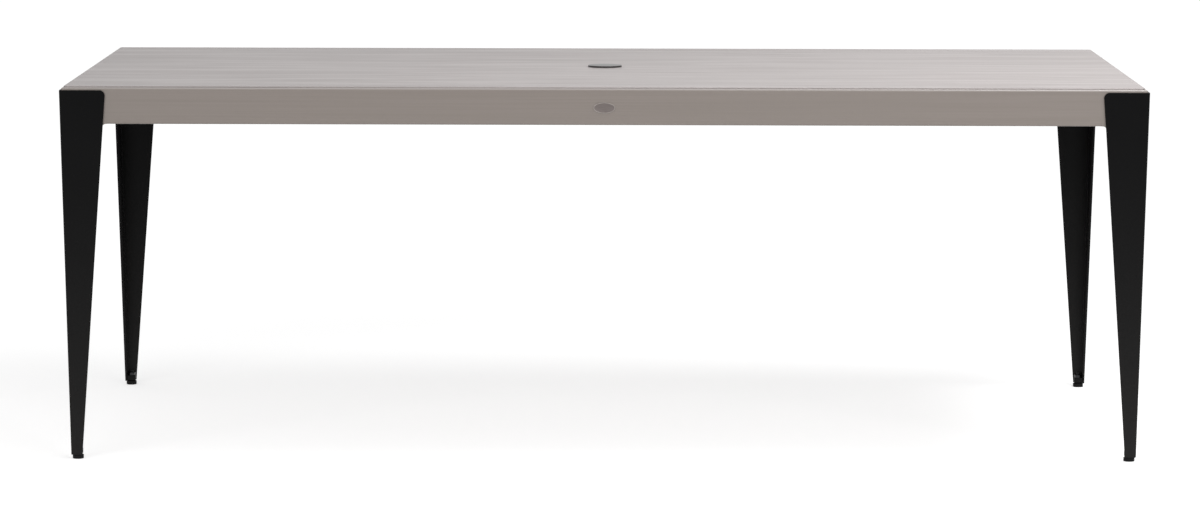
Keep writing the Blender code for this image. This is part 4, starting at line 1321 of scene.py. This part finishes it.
seat = move(normal_line(0, TOP_FACE - BADGE_DROP, APRON_INSET - FIT_GAP))
upright = place_at(*SIDES["front"]) @ seat @ Matrix.Rotation(SQUARE + RAKE_ANGLE, 4, "X")
badge = badge_plate()
# Faces outside the face's edge get the rim's paler metal, a painted highlight.
for face in badge.faces:
    centre = face.calc_center_median()
    face_edge = oval_radius(math.atan2(centre.y, centre.x), BADGE_RIM + FINE_EDGE)
    face.material_index = int(math.hypot(centre.x, centre.y) > face_edge)
plate = hang("oval_badge", badge, upright, BADGE_FACE, "badge_plate")
plate.data.materials.append(BADGE_RIM_HIGHLIGHT)
print("badge:", mm(BADGE_WIDTH), "by", mm(BADGE_HEIGHT), "mm")

# %% [markdown]
# ## The floor
#
# The photograph stands on plain white. The floor is a pale matt plane, and a little glow lifts
# it to white for the camera and for mirrored rays, so the lamps need not be turned up. The glow
# is weaker near the table, so that the table's soft shadow stays on it.

# %% Floor
FLOOR_SIZE = 60.0
FLOOR_DROP = 0.0002
FLOOR_TONE = (0.82, 0.82, 0.82, 1)
WHITE = (1, 1, 1, 1)
SHADOW_REACH = (1.4, 3.2)
FLOOR_GLOW = (0.58, 0.74)


def show_background(tree, output, plain, shown):
    """Gives the rays that show the background one shader, and every other ray the plain one."""
    path = add_node(tree, "LightPath").outputs
    mirrored = calc(tree, "MAXIMUM", path["Is Glossy Ray"], path["Is Transmission Ray"])
    seen = calc(tree, "MAXIMUM", path["Is Camera Ray"], mirrored)
    both = add_node(tree, "MixShader", {0: seen, 1: plain.outputs[0], 2: shown.outputs[0]})
    add_node(tree, output, {"Surface": both.outputs[0]})


def floor_material():
    made = bpy.data.materials.new("studio_floor")
    made.use_nodes = True
    tree = made.node_tree
    tree.nodes.clear()
    matt = add_node(tree, "BsdfDiffuse", {"Color": FLOOR_TONE})
    away = add_node(tree, "VectorMath", {0: object_place(tree)}, operation="LENGTH").outputs["Value"]
    level = map_range(tree, away, *SHADOW_REACH, *FLOOR_GLOW, interpolation_type="SMOOTHSTEP")
    glow = add_node(tree, "Emission", {"Color": WHITE, "Strength": level})
    lifted = add_node(tree, "AddShader", {0: matt.outputs[0], 1: glow.outputs[0]})
    show_background(tree, "OutputMaterial", matt, lifted)
    return made


def studio_floor():
    bm = bmesh.new()
    bmesh.ops.create_grid(bm, x_segments=1, y_segments=1, size=FLOOR_SIZE / 2)
    mesh = bpy.data.meshes.new("studio_floor")
    bm.to_mesh(mesh)
    bm.free()
    mesh.materials.append(floor_material())
    mesh.transform(move((0, 0, -FLOOR_DROP)))
    put_in_scene("studio_floor", mesh)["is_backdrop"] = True


studio_floor()
print("floor:", FLOOR_SIZE, "m square")

# %% [markdown]
# ## Soft light
#
# The table stands in an even white surround, so most of the light is the world's own. Two large
# soft lamps in front add a little shape. Two strips over the top, a strong one on the right and
# a faint one on the left, give it its slow change from a darker left to a paler right.

# %% World
ROOM_LIGHT = 0.36


def studio_world():
    """White to the rays that show the background, and a softer light to everything else."""
    world = bpy.data.worlds.new("studio")
    bpy.context.scene.world = world
    world.use_nodes = True
    tree = world.node_tree
    tree.nodes.clear()
    room = add_node(tree, "Background", {"Color": WHITE, "Strength": ROOM_LIGHT})
    white = add_node(tree, "Background", {"Color": WHITE, "Strength": 1.0})
    show_background(tree, "OutputWorld", room, white)


studio_world()
print("room light:", ROOM_LIGHT)


# %% Lamps
def soft_lamp(name, place, aim, size, power):
    lamp = bpy.data.lights.new(name, "AREA")
    settle(lamp, shape="RECTANGLE", size=size[0], size_y=size[1], energy=power)
    facing = (Vector(aim) - Vector(place)).to_track_quat("-Z", "Y").to_euler()
    settle(put_in_scene(name, lamp), location=place, rotation_euler=facing)
    print("lamp:", name)


soft_lamp("key_softbox", (1.8, -3.6, 2.2), aim=(0.2, 0.0, 0.5), size=(3.0, 2.0), power=62)
soft_lamp("fill_softbox", (-2.2, -3.8, 2.0), aim=(-0.2, 0.0, 0.5), size=(2.5, 2.0), power=40)
soft_lamp("right_strip", (1.5, -0.3, 2.5), aim=(1.2, 0.0, 0.7), size=(1.8, 0.5), power=30)
soft_lamp("left_strip", (-0.8, -0.3, 2.5), aim=(-0.8, 0.0, 0.7), size=(2.0, 0.5), power=1)

# %% [markdown]
# ## The camera
#
# The camera stands far in front of the table, a little above it, with a long lens, so that the
# top shows as a thin band. Its place was fitted to the corners and feet in the photograph.

# %% Camera
IMAGE_WIDTH = 1200
FOCAL_PIXELS = 4604.1
SENSOR_WIDTH = 36.0
CAMERA_PLACE = (0.0202, -9.506, 1.4681)
CAMERA_PITCH = 0.1184
CAMERA_YAW = -0.0031
CAMERA_ROLL = 0.0023


def aim_camera():
    turn = Matrix.Rotation(-CAMERA_YAW, 4, "Z") @ Matrix.Rotation(SQUARE - CAMERA_PITCH, 4, "X")
    turn @= Matrix.Rotation(CAMERA_ROLL, 4, "Z")
    data = bpy.data.cameras.new("camera")
    data.sensor_width = SENSOR_WIDTH
    data.lens = FOCAL_PIXELS / IMAGE_WIDTH * SENSOR_WIDTH
    camera = put_in_scene("camera", data)
    camera.matrix_world = move(CAMERA_PLACE) @ turn
    bpy.context.scene.camera = camera
    print("lens:", round(data.lens, 1), "mm")


aim_camera()

# %% [markdown]
# ## Finish
#
# The view transform is set to Standard, so that a colour renders as it is written. The sizes
# of the imported model and of the dressed one are put side by side, and they should agree; the
# dressed one is printed.

# %% Sizes and finish
bpy.context.scene.view_settings.view_transform = "Standard"
dressed_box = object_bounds()
boxes = {"packed": packed_box, "dressed": dressed_box}
{key: [list(corner) for corner in box] for key, box in boxes.items()}
print("dressed box:", [[round(value, 4) for value in corner] for corner in dressed_box])
